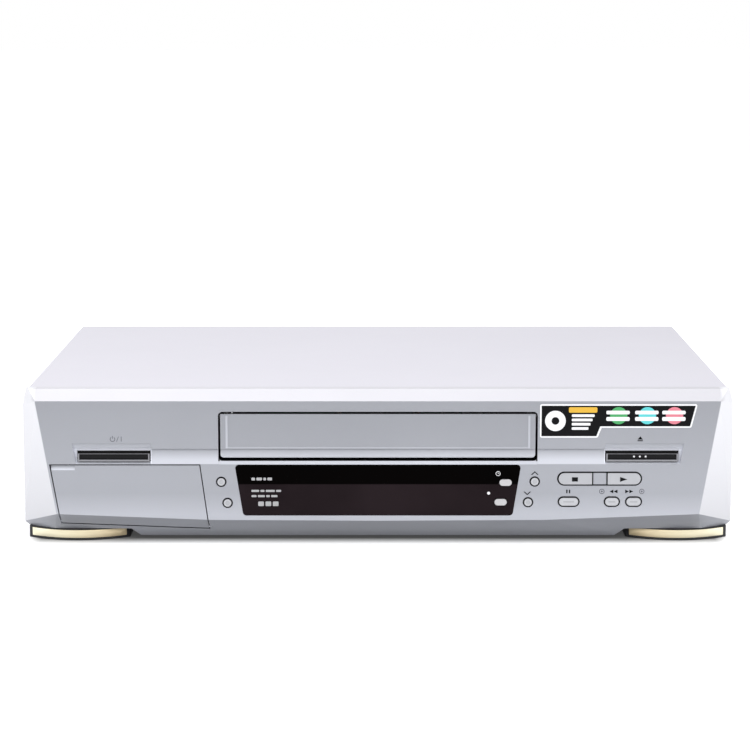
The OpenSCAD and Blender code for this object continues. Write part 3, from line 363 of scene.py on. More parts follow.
def fascia_paint():
    """Silver on the flat front, pearly wings and top bevel partly painted light, painted shade in
    holes.
    """
    graph = Graph("fascia_silver")
    front = silver_front(graph)
    # Painted light on the notch beside the door, growing towards its lower edge
    scoop = graph.both(graph.within(graph.z, *SCOOP_Z), graph.within(graph.side, *SCOOP_SIDE))
    front = graph.mix(scoop, front, graph.scaled(front, graph.fade(graph.z, 56.4, 50.5, 1.05, 1.6)))
    # Painted highlight on the strip of front between the door and the display
    strip = graph.both(graph.within(graph.z, *STRIP_Z), graph.fade(graph.side, 95.8, 95.2))
    front = graph.mix(strip, front, graph.scaled(front, 1.6))
    # Painted light in the pocket round the bars: growing from its upper edge down, brightest on its
    # ledge
    pocket = graph.both(graph.deeper(0.02, 0.2), graph.within(graph.side, *POCKET_SIDE),
                        graph.within(graph.z, *POCKET_Z))
    ledge = graph.fade(graph.z, 49.6, 49.2)
    pocket_light = graph.scaled(front, graph.fade(graph.z, 60.5, 57.5, 1.0, 1.75))
    front = graph.mix(pocket, front, graph.mix(ledge, pocket_light, graph.scaled(front, 1.9)))
    # Wings paler than the silver partly as painted light, with painted shade growing towards their
    # foot
    lit_pearl = graph.scaled(graph.clouded(LIT_PEARL, 0.015), graph.fade(graph.z, 12, 84, 0.84, 1.0))
    above = graph.math("SUBTRACT", 1.0, graph.under)
    wing = graph.both(graph.deeper(0.05, 0.4), graph.fade(graph.lean, PANEL_EDGE - 0.4, PANEL_EDGE),
                      graph.either(above, graph.fade(graph.z, 30, 40)))
    front = graph.mix(wing, front, lit_pearl)
    bevel = graph.both(graph.deeper(0.05, 0.3), graph.fade(graph.z, 85.2, 86.0),
                       graph.fade(graph.side, 209, 205))
    # Top bevel paler than the silver partly as painted light, with painted light brighter to the left
    top = graph.scaled(graph.clouded(LIT_BEVEL_PEARL, 0.01), graph.fade(graph.x, -150, 150, 1.07, 0.94))
    front = graph.mix(bevel, front, top)
    # Painted shade on the walls of the holes for keys, door and bars, on the inner parts, and in the
    # gap under the flap
    keys = graph.both(graph.deeper(0.08, 0.25), graph.fade(graph.z, 47.7, 47.5),
                      graph.fade(graph.z, 18.0, 19.0), graph.fade(graph.lean, 189.6, 189.2))
    door = graph.both(graph.deeper(0.08, 0.25), graph.within(graph.z, *DOOR_HOLE_Z),
                      graph.fade(graph.side, 95.9, 95.7))
    bars = graph.both(graph.deeper(2.28, 2.4), graph.within(graph.z, *BAR_HOLE_Z),
                      graph.within(graph.side, *BAR_HOLE_SIDE))
    inside = graph.both(graph.deeper(2.5, 3.2), graph.fade(graph.side, 190, 188),
                        graph.fade(graph.z, 19.0, 20.0), graph.fade(graph.z, 82.0, 81.0))
    run = 0.0
    for middle, rise, back in LOW_BEVEL:
        ridge = graph.math("ADD", graph.math("MULTIPLY", graph.side, rise), middle * MM)
        face = graph.math("MULTIPLY", graph.math("SUBTRACT", ridge, graph.z), back)
        run = graph.math("MAXIMUM", face, run)
    sunk = graph.math("SUBTRACT", graph.y, run)
    flap_foot = graph.both(graph.fade(sunk, depth(0.35), depth(0.55)), graph.fade(graph.x, -86, -88),
                           graph.fade(graph.side, 191, 189), graph.fade(graph.z, 18.5, 17.5))
    holes = graph.either(keys, door, bars, inside, flap_foot)
    front = graph.mix(holes, front, HOLE_SHADE)
    return graph.finish(graph.flaked(front), 0.42, 0.2)


def door_paint():
    """Silver of the cassette door, with painted highlights on its ribs and towards the foot of its
    lip.
    """
    graph = Graph("door_silver")
    front = silver_front(graph)
    # Painted highlight on the ribs that stand furthest forward
    front = graph.scaled(front, graph.fade(graph.y, depth(0.06), depth(0.2), 1.4, 0.94))
    # Painted highlight growing towards the foot of the lip
    front = graph.scaled(front, graph.fade(graph.z, 56.8, 52.2, 1.0, 1.42))
    # Painted shade on the door's edges and on its back
    hidden = graph.either(graph.deeper(1.7, 2.0), graph.fade(graph.side, 94.4, 94.6))
    front = graph.mix(hidden, front, HOLE_SHADE)
    return graph.finish(graph.flaked(front), 0.4, 0.2)


def flap_paint():
    """Silver of the flap, with painted shade and light in the nail scoop at its upper outer corner.
    """
    graph = Graph("flap_silver")
    front = silver_front(graph)
    nail = graph.both(graph.deeper(0.05, 0.3), graph.fade(graph.z, 43.6, 44.4),
                      graph.within(graph.side, *NAIL_SIDE))
    # Painted shade at the top of the nail scoop, painted light growing towards its foot
    front = graph.mix(nail, front, graph.scaled(front, graph.fade(graph.z, 46.6, 44.4, 0.7, 2.0)))
    return graph.finish(graph.flaked(front), 0.42, 0.2)


def bar_gloss():
    """Gloss black bar with painted highlights round its finger scoop."""
    graph = Graph("bar_gloss")
    near = graph.deeper(0.5, 0.4)
    lip = graph.within(graph.z, 49.5, 50.4, 0.12)
    ends = graph.both(graph.either(graph.fade(graph.side, 137.9, 137.7),
                                   graph.fade(graph.side, 179.1, 179.3)),
                      graph.fade(graph.z, 54.4, 54.2))
    rim = graph.within(graph.z, 53.9, 54.3, 0.12)
    black = graph.clouded((0.0022, 0.0022, 0.0030), 0.15, 40.0)
    # Painted highlights on the scoop's upper rim, its lower lip and its ends
    colour = graph.mix(graph.both(near, rim), black, (0.18, 0.18, 0.19))
    colour = graph.mix(graph.both(near, graph.either(lip, ends)), colour, (0.27, 0.27, 0.29))
    return graph.finish(graph.flaked(colour, 0.05, 2400.0, 0.01), 0.2, 0.0, 0.15)


# Dashes on the three small long keys: height, half thickness, and middle and half width of each
DASH_Z = 24.85
DASH_HALF = 0.15
DASHES = ((114.7, 3.1), (140.7, 1.9), (153.75, 2.1))


def key_paint(name, colour, metallic):
    """Key cap: own colour, painted shade where it sinks, a fine dash on the small ones, painted shade
    in its hole.
    """
    graph = Graph(name)
    # Painted shade where the cap lies further back than its face
    cap = graph.scaled(graph.clouded(colour, 0.02, 60.0),
                       graph.fade(graph.y, depth(-0.4), depth(-0.62), 0.86, 1.0))
    spans = [graph.within(graph.x, middle - half, middle + half) for middle, half in DASHES]
    row = graph.within(graph.z, DASH_Z - DASH_HALF, DASH_Z + DASH_HALF)
    dash = graph.both(row, graph.either(*spans))
    cap = graph.mix(dash, cap, shade(colour, 0.68))
    # Painted shade inside the key's hole
    inside = graph.deeper(-0.15, 0.0)
    return graph.finish(graph.flaked(graph.mix(inside, cap, HOLE_SHADE), 0.06), 0.32, metallic)


def cover_paint():
    """Painted sheet, with painted shade a little darker towards the back and the right."""
    graph = Graph("cover_paint")
    base = graph.clouded((0.67, 0.655, 0.715), 0.012, 5.0)
    # Painted shade towards the back and the right, away from the light at the front left
    base = graph.scaled(base, graph.fade(graph.y, -130, 140, 0.9, 0.84))
    base = graph.scaled(base, graph.fade(graph.x, -210, 210, 1.03, 0.95))
    return graph.finish(graph.flaked(base, 0.08, 1600.0, 0.06), 0.5, 0.05)


def champagne():
    """Trims of the feet: beige at their inner ends, with a painted highlight of cream at the outer
    ones.
    """
    graph = Graph("champagne_trim")
    # Painted highlight: the trims pale to cream towards their outer ends
    outward = graph.fade(graph.side, 158, 208)
    beige = graph.clouded((0.70, 0.57, 0.355), 0.03, 60.0)
    cream = graph.clouded((0.91, 0.86, 0.645), 0.03, 60.0)
    tone = graph.mix(outward, beige, cream)
    return graph.finish(graph.flaked(tone, 0.08), 0.32, 0.35)


# Heights of the two lying boards, and of the chips on them
BOARD_TOP = 17.6
CHIP_TOP = 19.8
# Ochre part of the power board: left, right, near and far side
OCHRE_BLOCK = (-150, -132, 222, 236)


def board_paint(name, base, block=None):
    """Lying circuit board: traces, black chips, and dark sleeves with bright lids on tall parts."""
    graph = Graph(name)
    traces = noise(graph.nodes, graph.links, 70.0, 1.0, (1.0, 3.0, 1.0))
    line = graph.both(graph.step(traces.outputs["Fac"], 0.49, 0.5),
                      graph.step(traces.outputs["Fac"], 0.53, 0.52))
    colour = graph.mix(line, graph.clouded(base, 0.15, 60.0), shade(base, 1.7))
    colour = graph.mix(graph.fade(graph.z, BOARD_TOP + 0.1, BOARD_TOP + 0.2), colour,
                       graph.clouded((0.014, 0.014, 0.015), 0.2, 80.0))
    sleeve = graph.mix(graph.lid, graph.clouded((0.010, 0.014, 0.045), 0.2, 80.0), (0.50, 0.50, 0.52))
    colour = graph.mix(graph.fade(graph.z, CHIP_TOP + 0.1, CHIP_TOP + 0.3), colour, sleeve)
    if block:
        left, right, near, far = block
        box = graph.both(graph.within(graph.x, left, right),
                         graph.within(graph.y, depth(near), depth(far)),
                         graph.fade(graph.z, BOARD_TOP + 0.1, BOARD_TOP + 0.2))
        colour = graph.mix(box, colour, graph.clouded((0.62, 0.40, 0.04), 0.08, 60.0))
    return graph.finish(graph.flaked(colour, 0.1, 420.0), 0.4)


def transformer_paint():
    """Ferrite core with a copper winding that stands out at its two faces."""
    graph = Graph("transformer")
    core = graph.clouded((0.035, 0.034, 0.034), 0.15, 40.0)
    wire = noise(graph.nodes, graph.links, 300.0, 2.0, (0.05, 0.05, 4.0))
    copper = ramp(graph.nodes, graph.links, wire.outputs["Fac"],
                  [(0.35, (0.26, 0.09, 0.02)), (0.65, (0.55, 0.22, 0.06))]).outputs["Color"]
    outside = graph.either(graph.fade(graph.y, depth(133.9), depth(133.6)),
                           graph.fade(graph.y, depth(166.1), depth(166.4)))
    return graph.finish(graph.flaked(graph.mix(outside, core, copper), 0.08, 900.0), 0.45)


def front_board_paint():
    """Circuit board of the keys, painted shade in black along the edge that shows through the
    cassette slot.
    """
    graph = Graph("front_circuit_board")
    green = graph.clouded((0.03, 0.16, 0.06), 0.25, 90.0)
    # Painted shade along the edge that shows through the cassette slot
    colour = graph.mix(graph.fade(graph.z, 45.8, 46.2), green, HOLE_SHADE)
    return graph.finish(graph.flaked(colour, 0.1, 420.0), 0.4)


def lens_plastic():
    """Smoked window: black above the display line, dark brown below it."""
    graph = Graph("smoked_lens")
    low = graph.clouded((0.0175, 0.0120, 0.0140), 0.2, 22.0)
    colour = graph.mix(graph.fade(graph.z, 35.3, 35.6), low, (0.0012, 0.0008, 0.0008))
    return graph.finish(colour, 0.12, 0.0, 0.01)


MATS = {
    "fascia": fascia_paint(),
    "door": door_paint(),
    "flap": flap_paint(),
    "cover": cover_paint(),
    "chassis": metal("chassis_zinc", (0.60, 0.61, 0.63), 0.38, (1.0, 18.0, 18.0)),
    "rear": plastic("rear_paint", (0.035, 0.037, 0.042), 0.55, 1500.0, 0.12, 0.08),
    "lens": lens_plastic(),
    "dark": plastic("dark_plastic", (0.018, 0.018, 0.020), 0.5, 1200.0, 0.12, 0.1),
    "bar": bar_gloss(),
    "rubber": plastic("foot_rubber", (0.022, 0.022, 0.024), 0.75, 1700.0, 0.2, 0.12),
    "gold": champagne(),
    "key_silver": key_paint("key_silver", (0.44, 0.445, 0.47), 0.2),
    "key_white": key_paint("key_white", (0.55, 0.54, 0.55), 0.0),
    "key_pale": key_paint("key_pale", (0.50, 0.505, 0.53), 0.1),
    "board": plastic("circuit_board", (0.03, 0.16, 0.06), 0.35, 420.0, 0.25, 0.25),
    "front_board": front_board_paint(),
    "main_board": board_paint("main_circuit_board", (0.03, 0.15, 0.06)),
    "power_board": board_paint("power_circuit_board", (0.30, 0.18, 0.07), OCHRE_BLOCK),
    "tube": plastic("tube_glass", (0.02, 0.035, 0.036), 0.1, 500.0, 0.02, 0.1, coat=0.6),
    "transformer": transformer_paint(),
    "aluminium": metal("machined_aluminium", (0.80, 0.81, 0.82), 0.25, (40.0, 40.0, 1.0)),
    "tin": metal("tin_plate", (0.74, 0.74, 0.76), 0.3, (1.0, 1.0, 12.0), 60.0),
    "screw": metal("screw_zinc", (0.68, 0.68, 0.70), 0.3, (6.0, 6.0, 6.0), 900.0),
    "deck": metal("deck_zinc", (0.66, 0.665, 0.68), 0.36, (20.0, 1.0, 20.0)),
    "nickel": metal("nickel", (0.78, 0.75, 0.68), 0.2, (8.0, 1.0, 8.0), 500.0),
    "reel": plastic("reel_plastic", (0.80, 0.80, 0.76), 0.4, 900.0, 0.05, 0.03),
    "gear": plastic("gear_plastic", (0.82, 0.78, 0.66), 0.42, 900.0, 0.05, 0.04),
    "brass": metal("turned_brass", (0.78, 0.62, 0.32), 0.25, (20.0, 20.0, 1.0), 400.0),
    "film": plastic("cable_film", (0.76, 0.76, 0.72), 0.5, 600.0, 0.05, 0.04),
    "black_print": plastic("black_print", (0.003, 0.003, 0.004), 0.45, 1500.0, 0.02, 0.05,
                           specular=0.1),
    "grey_print": plastic("grey_print", (0.10, 0.10, 0.12), 0.5, 1500.0, 0.02, 0.05),
    "pale_print": plastic("pale_print", (0.42, 0.42, 0.43), 0.5, 1500.0, 0.02, 0.05),
    "white_print": plastic("white_print", (0.88, 0.88, 0.90), 0.4, 1500.0, 0.02, 0.02),
    "gold_print": plastic("gold_print", (0.72, 0.42, 0.03), 0.3, 1500.0, 0.02, 0.1),
    "green_print": plastic("green_print", (0.05, 0.36, 0.11), 0.3, 1500.0, 0.02, 0.06),
    "cyan_print": plastic("cyan_print", (0.10, 0.62, 0.64), 0.3, 1500.0, 0.02, 0.06),
    "pink_print": plastic("pink_print", (0.72, 0.20, 0.26), 0.3, 1500.0, 0.02, 0.06),
    "yellow": plastic("yellow_plastic", (0.85, 0.62, 0.03), 0.35, 1100.0, 0.03, 0.04),
    "red": plastic("red_plastic", (0.62, 0.03, 0.03), 0.35, 1100.0, 0.03, 0.04),
    "white": plastic("white_plastic", (0.84, 0.84, 0.83), 0.35, 1100.0, 0.03, 0.03),
}

# Material of each CAD node; the rest, which are all keys, take "key_pale"
NODE_MATS = {
    "front_fascia": "fascia", "cassette_door": "door", "av_flap": "flap",
    "top_cover": "cover", "bottom_chassis": "chassis", "rear_panel": "rear",
    "display_window": "lens", "front_feet": "rubber", "rear_feet": "rubber",
    "foot_trims": "gold", "sticker_plate": "white_print", "cover_screws": "screw",
    "deck_screws": "screw", "front_board": "front_board", "main_board": "main_board",
    "av_board": "board",
    "capstan_motor": "board", "power_board": "power_board", "display_tube": "tube",
    "front_sockets": "dark", "scart_sockets": "dark", "mains_inlet": "dark",
    "power_transformer": "transformer", "heat_sink": "aluminium", "tuner_module": "tin",
    "rear_av_jacks": "nickel", "deck_plate": "deck", "carriage_brackets": "deck",
    "carriage_slider": "deck", "cassette_holder": "deck", "capstan": "aluminium",
    "pinch_arm": "deck", "door_spring": "screw", "drum_base": "aluminium",
    "upper_drum": "aluminium", "control_head": "nickel", "erase_head": "nickel",
    "drive_belt": "rubber", "ribbon_cable": "film", "pinch_roller": "rubber",
    "idler_wheel": "rubber", "idler_arm": "dark", "supply_reel": "reel", "take_up_reel": "reel",
    "supply_guide": "brass", "take_up_guide": "brass", "loading_gear": "gear",
    "power_button": "bar", "eject_button": "bar",
    "timer_button": "key_white", "record_button": "key_white",
    "stop_button": "key_silver", "play_button": "key_silver",
}

# Width of the rounded edge on some CAD nodes; the rest take the small one
EDGES = {"front_fascia": 0.2, "cassette_door": 0.2, "av_flap": 0.25, "top_cover": 0.25,
         "front_feet": 0.5, "foot_trims": 0.25, "rear_feet": 0.6, "display_window": 0.15,
         "sticker_plate": 0.05}
SMALL_EDGE = 0.12
EDGE_ANGLE = math.radians(24)
EDGE_STEPS = 2
WELD_M = 0.000005

# Flat sheets whose faces are joined before their edges are rounded, so that no crease
# runs from one hole to the next
SHEETS = ("top_cover", "rear_panel", "deck_plate")
FLAT_ANGLE = math.radians(0.5)


def dress_cad():
    """Gives each CAD node its material and a fine rounded edge."""
    for name, obj in frame["nodes"].items():
        mat = MATS[NODE_MATS.get(name, "key_pale")]
        obj.data.materials.clear()
        obj.data.materials.append(mat)
        weld = obj.modifiers.new("weld", "WELD")
        weld.merge_threshold = WELD_M
        if name in SHEETS:
            flat = obj.modifiers.new("flat", "DECIMATE")
            flat.decimate_type = "DISSOLVE"
            flat.angle_limit = FLAT_ANGLE
        bevel = obj.modifiers.new("edge", "BEVEL")
        bevel.width = EDGES.get(name, SMALL_EDGE) * MM
        bevel.segments = EDGE_STEPS
        bevel.limit_method = "ANGLE"
        bevel.angle_limit = EDGE_ANGLE
        bevel.harden_normals = True


dress_cad()


# ------------------------------------------------------------------ mesh helpers
CORNER_STEPS = 6
RING_STEPS = 40


def finish_mesh(name, bm, mat, body):
    """Turns a bmesh in millimetres into a piece that rides on a body."""
    bmesh.ops.scale(bm, vec=(MM, MM, MM), verts=bm.verts)
    bmesh.ops.recalc_face_normals(bm, faces=bm.faces)
    mesh = bpy.data.meshes.new(name)
    bm.to_mesh(mesh)
    bm.free()
    obj = bpy.data.objects.new(name, mesh)
    bpy.context.scene.collection.objects.link(obj)
    mesh.materials.append(MATS[mat])
    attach(obj, body)


def add_prism(bm, outline, y0, y1):
    """Adds an upright outline (x, z), closed at both ends, between two values of y."""
    near = [bm.verts.new((x, y0, z)) for x, z in outline]
    far = [bm.verts.new((x, y1, z)) for x, z in outline]
    bm.faces.new(near)
    bm.faces.new(list(reversed(far)))
    count = len(outline)
    for i in range(count):
        j = (i + 1) % count
        bm.faces.new((near[j], near[i], far[i], far[j]))


def rect(x0, z0, x1, z1):
    """Outline of a rectangle between two corners."""
    return [(x0, z0), (x1, z0), (x1, z1), (x0, z1)]


def disc(x, z, r, steps=32):
    """Outline of a circle."""
    return [(x + r * math.cos(2 * math.pi * i / steps), z + r * math.sin(2 * math.pi * i / steps))
            for i in range(steps)]


def arc_band(x, z, r, half, start, end, steps=20):
    """Outline of a band along an arc, for angles in degrees."""
    angles = [math.radians(start + (end - start) * i / steps) for i in range(steps + 1)]
    outer = [(x + (r + half) * math.cos(a), z + (r + half) * math.sin(a)) for a in angles]
    inner = [(x + (r - half) * math.cos(a), z + (r - half) * math.sin(a)) for a in angles]
    return outer + inner[::-1]


def soft_rect(x0, z0, x1, z1, r):
    """Outline of a rectangle with round corners."""
    points = []
    for cx, cz, first in ((x1 - r, z1 - r, 0), (x0 + r, z1 - r, 90), (x0 + r, z0 + r, 180),
                          (x1 - r, z0 + r, 270)):
        for i in range(CORNER_STEPS + 1):
            a = math.radians(first + 90 * i / CORNER_STEPS)
            points.append((cx + r * math.cos(a), cz + r * math.sin(a)))
    return points


# How far a printed mark stands out of its surface, and how far it reaches in
PRINT_T = 0.05
PRINT_SINK = 0.03
# Depth of the finger scoop's floor in the power and eject bars
BAR_SCOOP = 0.9
EJECT_X = 157.2
SIGN_Z = 31.1


def print_marks(name, outlines, mat, body=CASE, surface=0.0, proud=PRINT_T):
    """Thin printed marks that stand just proud of a surface at the given depth."""
    bm = bmesh.new()
    for outline in outlines:
        add_prism(bm, outline, depth(surface - proud), depth(surface + PRINT_SINK))
    finish_mesh(name, bm, mat, body)


# ------------------------------------------------------------------ printed marks
def triangle(x, z, w, h, direction):
    """Outline of a triangle that points to the right, to the left or up."""
    if direction == "right":
        return [(x - w / 2, z - h / 2), (x + w / 2, z), (x - w / 2, z + h / 2)]
    if direction == "left":
        return [(x + w / 2, z - h / 2), (x - w / 2, z), (x + w / 2, z + h / 2)]
    return [(x - w / 2, z - h / 2), (x + w / 2, z - h / 2), (x, z + h / 2)]


CHEVRON_W = 4.6
CHEVRON_H = 2.2
CHEVRON_STROKE = 2.6 * 0.3


def chevron(x, z, up):
    """Outline of an arrowhead of two strokes that points up or down."""
    s = 1 if up else -1
    w = CHEVRON_W / 2
    h = CHEVRON_H / 2
    inner = w - CHEVRON_STROKE
    return [(x - w, z - s * h), (x, z + s * h), (x + w, z - s * h), (x + inner, z - s * h),
            (x, z + s * (h - CHEVRON_STROKE)), (x - inner, z - s * h)]


def panel_marks():
    """Generic signs printed on the front panel, next to their keys."""
    power_x, power_z = -159.0, 63.0
    print_marks("power_sign", [arc_band(power_x, power_z, 1.4, 0.2, 125, 415),
                               rect(power_x - 0.2, power_z + 0.3, power_x + 0.2, power_z + 2.0),
                               [(power_x + 2.2, power_z - 1.4), (power_x + 2.6, power_z - 1.4),
                                (power_x + 3.8, power_z + 1.6), (power_x + 3.4, power_z + 1.6)],
                               rect(power_x + 5.0, power_z - 1.4, power_x + 5.4, power_z + 1.6)],
                "grey_print")
    eject_z = 63.4
    print_marks("eject_sign", [triangle(EJECT_X, eject_z + 0.4, 3.2, 2.0, "up"),
                               rect(EJECT_X - 1.6, eject_z - 1.6, EJECT_X + 1.6, eject_z - 1.0)],
                "black_print")
    print_marks("pause_sign", [rect(113.2, SIGN_Z - 1.1, 114.0, SIGN_Z + 1.1),
                               rect(114.8, SIGN_Z - 1.1, 115.6, SIGN_Z + 1.1)], "black_print")
    print_marks("rewind_sign", [triangle(140.4, SIGN_Z, 2.3, 2.2, "left"),
                                triangle(142.9, SIGN_Z, 2.3, 2.2, "left")], "black_print")
    print_marks("forward_sign", [triangle(149.8, SIGN_Z, 2.3, 2.2, "right"),
                                 triangle(152.3, SIGN_Z, 2.3, 2.2, "right")], "black_print")
    for name, x in (("rewind", 134.6), ("forward", 158.6)):
        print_marks(name + "_ring", [arc_band(x, SIGN_Z, 1.4, 0.2, 0, 359, 28),
                                     disc(x, SIGN_Z, 0.55, 14)], "grey_print")
    print_marks("channel_up_sign", [chevron(94.2, 42.4, True)], "black_print")
    print_marks("channel_down_sign", [chevron(89.8, 29.9, False)], "black_print")


def key_marks():
    """Signs on the two largest keys, and three dots on the eject bar."""
    key_depth = SIZES["stop_button"][0].y - FRONT
    print_marks("stop_sign", [rect(116.5, 37.3, 120.1, 39.9)], "black_print",
                "stop_key", key_depth)
    print_marks("play_sign", [triangle(147.6, 38.6, 4.4, 3.0, "right")], "black_print",
                "play_key", key_depth)
    print_marks("eject_dots", [disc(EJECT_X + dx, 52.3, 0.55, 16) for dx in (-3.5, 0.0, 3.5)],
                "white_print", "eject_key", BAR_SCOOP)


panel_marks()
key_marks()


# ------------------------------------------------------------------ sticker
STICKER_DEPTH = -0.25
LAYER = 0.03
STICKER_FIELD = ((97.9, 83.4), (190.0, 83.4), (186.8, 70.9), (133.1, 70.9), (130.8, 64.9),
                 (97.9, 64.9))
STICKER_SPOTS = (("green", 144.0), ("cyan", 161.2), ("pink", 177.4))


def layer(name, outlines, mat, level):
    """Print of the sticker on one of its levels."""
    print_marks(name, outlines, mat, CASE, STICKER_DEPTH - level * LAYER, LAYER)


def sticker():
    """Black strip in a white border, with plain coloured blocks."""
    layer("sticker_field", [STICKER_FIELD], "black_print", 0)
    layer("sticker_gold", [soft_rect(114.2, 79.2, 131.2, 82.5, 0.8)], "gold_print", 1)
    disc_x, disc_z = 106.2, 74.2
    layer("sticker_disc", [disc(disc_x, disc_z, 6.2)], "white_print", 1)
    layer("sticker_disc_centre", [disc(disc_x, disc_z, 2.3)], "black_print", 2)
    bars = [soft_rect(116.0, 76.6 - 2.6 * i, 129.6 - 1.2 * i, 78.2 - 2.6 * i, 0.5)
            for i in range(4)]
    layer("sticker_bars", bars, "white_print", 1)
    for name, x in STICKER_SPOTS:
        layer("sticker_" + name, [disc(x, 77.4, 5.2)], name + "_print", 1)
        rows = [soft_rect(x - 7.4, 78.2, x + 6.6, 80.4, 0.8),
                soft_rect(x - 7.4, 74.2, x + 6.6, 76.6, 0.8)]
        layer("sticker_rows_" + name, rows, "white_print", 2)


sticker()


# ------------------------------------------------------------------ display window prints
WINDOW_DEPTH = 0.15
WINDOW_MARK_X = -76.0
# Rows of bars: middle height, thickness and the width of each bar
WINDOW_ROWS = ((38.7, 1.7, (2.2, 3.4, 1.6, 2.8)), (31.4, 1.3, (4.6, 2.4, 5.4, 3.0)),
               (28.2, 1.3, (3.0, 4.2, 2.2, 3.8)))
BAR_GAP = 0.8
CLOCK_X = 72.2
CLOCK_Z = 42.0
CLOCK_HAND = 0.12


def window_print(name, outlines, mat):
    """Print on the face of the display window."""
    print_marks(name, outlines, mat, CASE, WINDOW_DEPTH)


def window_marks():
    """Rows of plain bars at the left of the window, and a dot and a clock at its right."""
    bars = []
    for z, height, widths in WINDOW_ROWS:
        x = WINDOW_MARK_X
        for width in widths:
            bars.append(soft_rect(x, z - height / 2, x + width, z + height / 2, height * 0.3))
            x += width + BAR_GAP
    for i in range(3):
        left = WINDOW_MARK_X + 4 + 4.4 * i
        bars.append(soft_rect(left, 22.1, left + 3.4, 24.9, 0.5))
    window_print("window_bars", bars, "pale_print")
    window_print("record_dot", [disc(66.6, 30.0, 0.9, 20)], "white_print")
    clock = [arc_band(CLOCK_X, CLOCK_Z, 1.3, 0.14, 0, 359, 28),
             rect(CLOCK_X - CLOCK_HAND, CLOCK_Z, CLOCK_X + CLOCK_HAND, CLOCK_Z + 0.9),
             rect(CLOCK_X, CLOCK_Z - CLOCK_HAND, CLOCK_X + 0.8, CLOCK_Z + CLOCK_HAND)]
    window_print("timer_sign", clock, "white_print")


window_marks()


# ------------------------------------------------------------------ sockets, front and rear
REAR_FACE = 285.0
JACK_COLUMNS = (-8, 24)
JACK_ROWS = ((30, "red"), (48, "white"), (66, "yellow"))
FRONT_JACKS = ((-150, "yellow"), (-134, "white"), (-118, "red"))
FRONT_JACK_Z = 27
SCARTS = ((-62, 33), (-62, 62))
# Rings: inner radius, outer radius, depth of the near face and depth of the far one
REAR_RING = (4.2, 5.3, 287.3, 286.2)
REAR_MOUTH = (1.7, 3.1, 293.15, 292.9)
FRONT_RING = (4.25, 6.1, 11.3, 12.0)
FRONT_MOUTH = (1.7, 3.1, 4.5, 4.7)
# Contacts of a wide socket: how many in a row, their pitch, and where each row starts
CONTACTS = 10
CONTACT_PITCH = 3.8
CONTACT_ROWS = ((-18.75, 0.95), (-16.85, -2.8))
CONTACT_W = 0.9
CONTACT_H = 0.5
CONTACT_NEAR = 280.0
CONTACT_FAR = 287.4


def add_ring(bm, x, z, r_in, r_out, y0, y1):
    """Adds a round washer with its axis along the depth and a softened outer edge."""
    soft = 0.18 * (r_out - r_in)
    rows = [(r_in, y0), (r_out - soft, y0), (r_out, y0 + soft * (1 if y1 > y0 else -1)),
            (r_out, y1), (r_in, y1)]
    loops = []
    for r, y in rows:
        loops.append([bm.verts.new((x + r * math.cos(2 * math.pi * i / RING_STEPS), y,
                                    z + r * math.sin(2 * math.pi * i / RING_STEPS)))
                      for i in range(RING_STEPS)])
    for a, b in zip(loops, loops[1:] + loops[:1]):
        for i in range(RING_STEPS):
            j = (i + 1) % RING_STEPS
            bm.faces.new((a[i], a[j], b[j], b[i]))


def ring_piece(name, x, z, ring, mat):
    """One ring as a piece of its own."""
    r_in, r_out, near, far = ring
    bm = bmesh.new()
    add_ring(bm, x, z, r_in, r_out, depth(near), depth(far))
    finish_mesh(name, bm, mat, CASE)


def jack_rings():
    """Coloured rings round the phono sockets, with pale insulation in their mouths."""
    for column in JACK_COLUMNS:
        for z, colour in JACK_ROWS:
            name = f"jack_ring_{'left' if column < 0 else 'right'}_{colour}"
            ring_piece(name, column, z, REAR_RING, colour)
            ring_piece(name + "_mouth", column, z, REAR_MOUTH, "white")
    for x, colour in FRONT_JACKS:
        name = f"front_ring_{colour}"
        ring_piece(name, x, FRONT_JACK_Z, FRONT_RING, colour)
        ring_piece(name + "_mouth", x, FRONT_JACK_Z, FRONT_MOUTH, "white")


def scart_contacts():
    """Sprung contacts in both rows of each wide socket."""
    for number, (x, z) in enumerate(SCARTS):
        bm = bmesh.new()
        for i in range(CONTACTS):
            for left, low in CONTACT_ROWS:
                x0 = x + left + i * CONTACT_PITCH
                z0 = z + low
                outline = rect(x0, z0, x0 + CONTACT_W, z0 + CONTACT_H)
                add_prism(bm, outline, depth(CONTACT_NEAR), depth(CONTACT_FAR))
        finish_mesh(f"scart_contacts_{number}", bm, "nickel", CASE)


# Printed frames: two corners of each, the radius of the corners and the width of the line
REAR_FRAMES = {"phono": (-19, 20.5, 35, 75.5), "scart": (-92, 19.5, -31.5, 76.0),
               "aerial": (121, 24, 143, 68), "mains": (-186, 20.5, -150, 47.5)}
FRAME_R = 3.0
FRAME_W = 0.35


def frame_line(x0, z0, x1, z1):
    """Outer and inner outline of a round-cornered printed frame."""
    outer = soft_rect(x0, z0, x1, z1, FRAME_R)
    inner = soft_rect(x0 + FRAME_W, z0 + FRAME_W, x1 - FRAME_W, z1 - FRAME_W, FRAME_R - FRAME_W)
    return outer, inner


def rear_print():
    """Thin frames that group the sockets on the rear panel."""
    for name, corners in REAR_FRAMES.items():
        outer, inner = frame_line(*corners)
        bm = bmesh.new()
        loops = []
        for y in (depth(REAR_FACE - PRINT_SINK), depth(REAR_FACE + PRINT_T)):
            for outline in (outer, inner):
                loops.append([bm.verts.new((x, y, z)) for x, z in outline])
        front_outer, front_inner, back_outer, back_inner = loops
        count = len(outer)
        for a, b in ((front_outer, front_inner), (back_inner, back_outer),
                     (front_outer, back_outer), (back_inner, front_inner)):
            for i in range(count):
                j = (i + 1) % count
                bm.faces.new((a[i], a[j], b[j], b[i]))
        finish_mesh("rear_frame_" + name, bm, "pale_print", CASE)


jack_rings()
scart_contacts()
rear_print()


